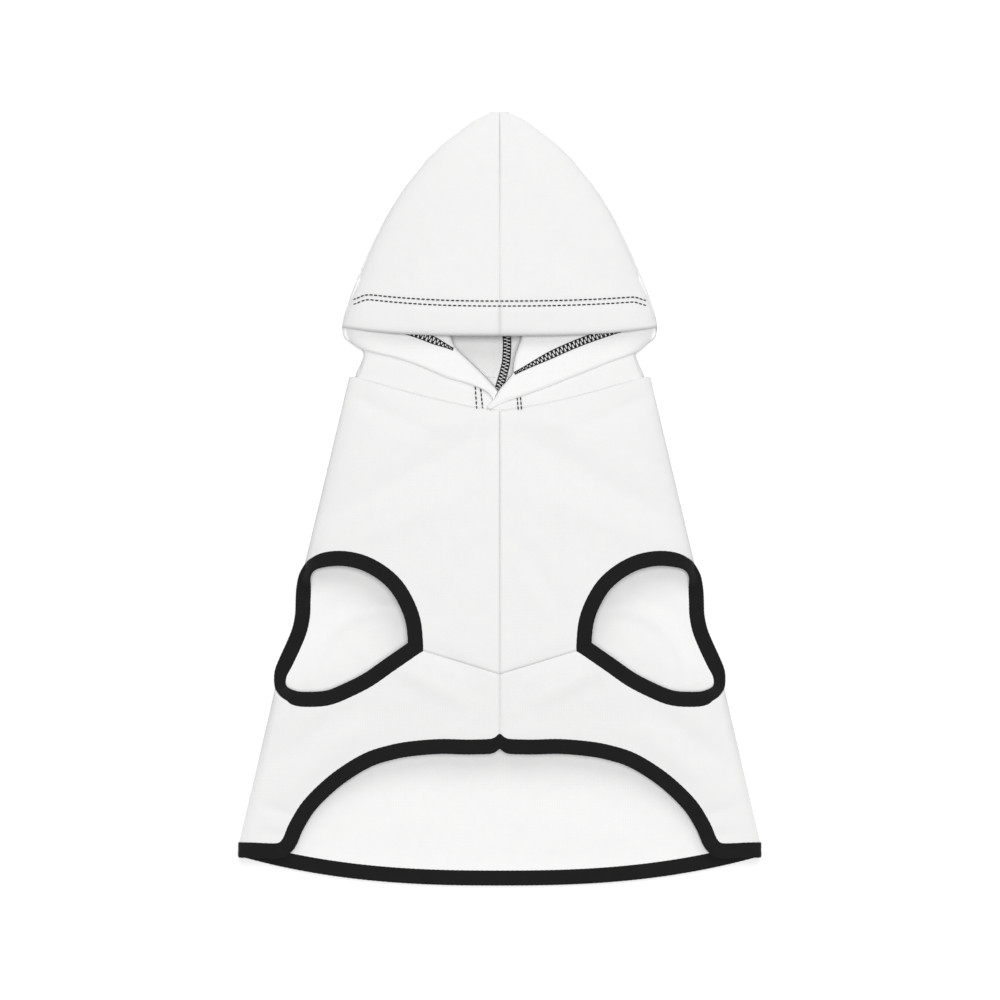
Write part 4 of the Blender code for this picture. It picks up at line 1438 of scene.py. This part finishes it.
def hem_stitches():
    """The twin rows that hold the hood's hem."""
    mesh = bmesh.new()
    for row in (0.0, 1.0):
        points = []
        for step in range(-HEM_ROW_STEPS, HEM_ROW_STEPS + 1):
            x = HEM_ROW_HALF * math.sin(0.5 * math.pi * step / HEM_ROW_STEPS)
            points.append(on_hood(x, hem_row_y(abs(x), x, row), math.copysign(1.0, x)))
        add_stitch_row(mesh, Line(points), STITCH_PITCH, STITCH_LENGTH, THREAD_WIDE)
    return add_object("hood_hem_stitches", mesh, THREAD)


hem_rows_piece = hem_stitches()
print("hem stitches:", triangles(hem_rows_piece), "triangles")

# %% [markdown]
# The same twin rows come down both sides of the throat, and end in the neck seam.

# %% Throat stitches
THROAT_STITCHES = table(
    "top_x top_y end_x end_y sign",
    (-15.9, 73.5, -14.8, 57.6, -1.0),
    (-12.4, 71.8, -10.9, 57.4, -1.0),
    (11.2, 66.4, 12.0, 57.6, 1.0),
    (13.4, 66.4, 14.1, 57.8, 1.0),
)


def lower_share(x, y):
    """Share down the neck of a point on it: 0 at the forehead edge, 1 at the seam."""
    return clamp((RIM_Y - y) / (RIM_Y - neck_seam_y(x)))


def on_neck(x, y, sign, layers=0.0):
    """A point on the neck's cloth, or on the rolled edge that lies a layer higher."""
    lower = lower_share(x, y)
    over_cloth = 0.5 * CLOTH + 0.3 * (1.0 - layers)
    return Vector((x, y, neck_z(abs(x), y, lower, sign) + layers * LAYER + over_cloth))


def throat_stitches():
    """The rows that come down the throat to the neck seam."""
    mesh = bmesh.new()
    for row in THROAT_STITCHES:
        points = []
        for step in range(13):
            x = mix(row.top_x, row.end_x, step / 12.0)
            y = mix(row.top_y, row.end_y, step / 12.0)
            points.append(on_neck(x, y, row.sign))
        add_stitch_row(mesh, Line(points), STITCH_PITCH, STITCH_LENGTH, THREAD_WIDE)
    return add_object("throat_stitches", mesh, THREAD)


throat_piece = throat_stitches()
print("throat stitches:", triangles(throat_piece), "triangles")

# %% [markdown]
# ## Looper threads
# On the inside, a coverstitch shows as a ladder of looper thread, and the overlocked seam at
# the nape as loops over its edge. Both are thread that wanders from side to side while it
# travels, so we draw them as a thin tube along a swinging line, with a straight thread at each
# side. The tubes are curves with a round bevel, turned into one mesh.

# %% Ladders of looper thread
LADDER_WIDE = 4.6
LADDER_PITCH = 2.8
LOOP_THREAD = 0.62
SWING_STEPS = 10


NARROW_START = 0.62
NARROW_TO = 0.3


def ladder_share(share, narrow):
    """Share of a ladder's width at a share of its length; a narrow one thins out at the throat."""
    if not narrow:
        return 1.0
    return mix(1.0, NARROW_TO, ease((share - NARROW_START) / (1.0 - NARROW_START)))


def swing_line(line, wide, pitch, lean, raise_by, narrow):
    """A thread that swings across a line while it travels along it."""
    count = round(line.length / pitch)
    points = []
    for step in range(count * SWING_STEPS + 1):
        phase = step / SWING_STEPS
        share = (phase + lean * math.sin(4.0 * math.pi * phase)) / count
        side = line.right_of(share, 0.01)
        across = 0.5 * wide * ladder_share(share, narrow) * math.cos(2.0 * math.pi * phase)
        lift = raise_by * (1.0 + 0.5 * math.sin(2.0 * math.pi * phase))
        points.append(line.at(share) + side * across + Vector((0.0, 0.0, lift)))
    return points


def edge_line(line, offset, raise_by, narrow):
    """A straight thread at one side of a ladder."""
    points = []
    steps = round(line.length)
    for step in range(steps + 1):
        share = step / steps
        out = line.right_of(share, 0.01) * offset * ladder_share(share, narrow)
        points.append(line.at(share) + out + Vector((0.0, 0.0, raise_by)))
    return points


def thread_object(name, lines, thread):
    """Thread tubes along the lines, as one mesh at the origin."""
    data = bpy.data.curves.new(name, "CURVE")
    data.dimensions = "3D"
    data.bevel_depth = 0.5 * thread * MM
    data.bevel_resolution = 1
    data.use_fill_caps = True
    for points in lines:
        spline = data.splines.new("POLY")
        spline.points.add(len(points) - 1)
        for spot, point in zip(spline.points, points):
            spot.co = (*(point * MM), 1.0)
    curve = bpy.data.objects.new(name + "_path", data)
    bpy.context.scene.collection.objects.link(curve)
    graph = bpy.context.evaluated_depsgraph_get()
    mesh = bpy.data.meshes.new_from_object(curve.evaluated_get(graph))
    bpy.data.objects.remove(curve)
    bpy.data.curves.remove(data)
    mesh.name = name
    mesh.materials.clear()
    mesh.materials.append(THREAD)
    mesh.shade_smooth()
    piece = bpy.data.objects.new(name, mesh)
    bpy.context.scene.collection.objects.link(piece)
    return piece


def ladder(name, line, wide=LADDER_WIDE, pitch=LADDER_PITCH, thread=LOOP_THREAD, narrow=True):
    """Two threads that swing out of step, between two straight ones."""
    raise_by = 0.5 * thread
    lines = [
        swing_line(line, wide, pitch, 0.10, raise_by, narrow),
        swing_line(line, wide * 0.8, pitch, -0.08, raise_by * 1.4, narrow),
        edge_line(line, 0.5 * wide, raise_by, narrow),
        edge_line(line, -0.5 * wide, raise_by, narrow),
    ]
    return thread_object(name, lines, thread)


def lapel_line(ends, sign, bow):
    """The coverstitch's inside on a rolled edge, between two points with a slight bow."""
    start, end = Vector(ends[0]), Vector(ends[1])
    points = []
    for step in range(41):
        share = step / 40.0
        spot = start.lerp(end, share)
        spot.y += bow * math.sin(math.pi * share)
        points.append(on_neck(spot.x, spot.y, sign, 1.0))
    return Line(points)


LEFT_LADDER = ((-70.0, 112.0), (-30.0, 97.0))
RIGHT_LADDER = ((84.0, 112.5), (9.5, 81.3))
ladder_left = ladder("lapel_ladder_left", lapel_line(LEFT_LADDER, -1.0, 1.2))
ladder_right = ladder("lapel_ladder_right", lapel_line(RIGHT_LADDER, 1.0, 2.6))
NAPE_SPOTS = ((2.6, 118.0), (4.6, 106.0), (4.4, 92.0), (3.0, 84.0), (-0.8, 71.0))
NAPE_SEAM = smooth_line([Vector((*spot, 0.0)) for spot in NAPE_SPOTS])
OVERLOCK_WIDE, OVERLOCK_PITCH, OVERLOCK_THREAD = 4.7, 2.2, 0.78
OVERLOCK_LIFT = 1.4


def nape_line():
    """The overlocked seam, raised over the nape's cloth and its allowance."""
    z = FLOOR_MID + 0.5 * CLOTH + OVERLOCK_LIFT
    return Line([Vector((point.x, point.y, z)) for point in NAPE_SEAM])


nape_ladder = ladder(
    "nape_overlock", nape_line(), OVERLOCK_WIDE, OVERLOCK_PITCH, OVERLOCK_THREAD, narrow=False
)
print("ladders:", triangles(ladder_left), triangles(ladder_right), triangles(nape_ladder))

# %% [markdown]
# The overlocked seam at the nape stands up as a narrow ridge of two edges sewn together. A
# strip of the same cloth under the loops carries them.

# %% Nape seam allowance
ALLOWANCE_WIDE = 4.4
ALLOWANCE_LIFT = 0.45
ALLOWANCE_LINE = Line(NAPE_SEAM)


def allowance_place(across, down):
    """A point of the strip, which follows the seam at an even width."""
    side = ALLOWANCE_LINE.right_of(down, 0.01)
    point = ALLOWANCE_LINE.at(down) + side * mix(-0.5, 0.5, across) * ALLOWANCE_WIDE
    return Vector((point.x, point.y, FLOOR_MID + CLOTH + ALLOWANCE_LIFT))


allowance = add_object("nape_seam_allowance", new_grid(6, 40, allowance_place), WHITE_JERSEY)
add_wall(allowance, CLOTH)
print("allowance:", triangles(allowance), "triangles")

# %% [markdown]
# ## Riding on the frame
# Nothing on a hoodie is hinged, so every piece rides on the one body. Each cloth piece stands
# for the solid of its panel, which is hidden.

# %% Hide the solids and put each piece on the body
CLOTH_PIECES = {
    "back_panel": back_cloth,
    "chest_left": chests["left"],
    "chest_right": chests["right"],
    "belly_left": bellies["left"],
    "belly_right": bellies["right"],
    "hood_left": hoods["left"],
    "hood_right": hoods["right"],
}
TAPE_PIECES = {
    "leg_binding_left": leg_tapes["left"],
    "leg_binding_right": leg_tapes["right"],
    "hem_binding": hem_tape,
}
THREAD_PIECES = [hem_rows_piece, throat_piece, ladder_left, ladder_right, nape_ladder]

for node, piece in {**CLOTH_PIECES, **TAPE_PIECES}.items():
    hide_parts(node)
    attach(piece, "root")
for piece in [*THREAD_PIECES, allowance]:
    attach(piece, "root")

# %% [markdown]
# A sheet's flat size is the rectangle that its cut fits in, and its area the cut itself.

# %% A row for a sheet's cut size
CutRow = namedtuple("CutRow", "width length rests_on")

# %% [markdown]
# ## Table and light
# The photograph's table is so evenly lit that it is plain white, with only a thin soft shadow
# at the garment's edge, and light reaches into the hood and the leg holes. So the main sun is
# nearly overhead and soft, and a weaker, much wider one shines from beyond the hood. A dim
# even world fills the rest, and the table glows very slightly, as a sheet lit from behind does.

# %% Table, light and colour
TABLE = 6.0
TABLE_GLOW = 0.03
WORLD_STRENGTH = 0.24
Sun = namedtuple("Sun", "name toward spread_angle strength")
SUNS = (
    Sun("soft_overhead_light", (0.01, 0.03, 1.0), 18.0, 2.05),
    Sun("light_from_the_hood_side", (0.10, 0.85, 1.0), 40.0, 0.74),
)


def add_table():
    """A wide matt table top under the garment."""
    mesh = bmesh.new()
    bmesh.ops.create_grid(mesh, x_segments=1, y_segments=1, size=0.5 * TABLE)
    material, shader = new_material("matt_white_table", "FFFFFF", 0.9, 0.0)
    shader.inputs["Emission Color"].default_value = (1.0, 1.0, 1.0, 1.0)
    shader.inputs["Emission Strength"].default_value = TABLE_GLOW
    table = add_object("table_top", mesh, material)


def add_world(strength):
    """Even white light from all sides."""
    world = bpy.data.worlds.new("even_light")
    world.use_nodes = True
    background = world.node_tree.nodes["Background"]
    background.inputs["Color"].default_value = (1.0, 1.0, 1.0, 1.0)
    background.inputs["Strength"].default_value = strength
    bpy.context.scene.world = world


def add_sun(sun):
    """A sun that shines from its direction; a wider one has softer shadows."""
    data = bpy.data.lights.new(sun.name, "SUN")
    data.angle = math.radians(sun.spread_angle)
    data.energy = sun.strength
    light = bpy.data.objects.new(sun.name, data)
    light.rotation_euler = Vector(sun.toward).to_track_quat("Z", "Y").to_euler()
    light.location = Vector(sun.toward)
    bpy.context.scene.collection.objects.link(light)


add_table()
add_world(WORLD_STRENGTH)
for sun in SUNS:
    add_sun(sun)
view = bpy.context.scene.view_settings
view.view_transform = "Standard"
view.look = "None"
view.exposure = 0.0
print("lights ready")
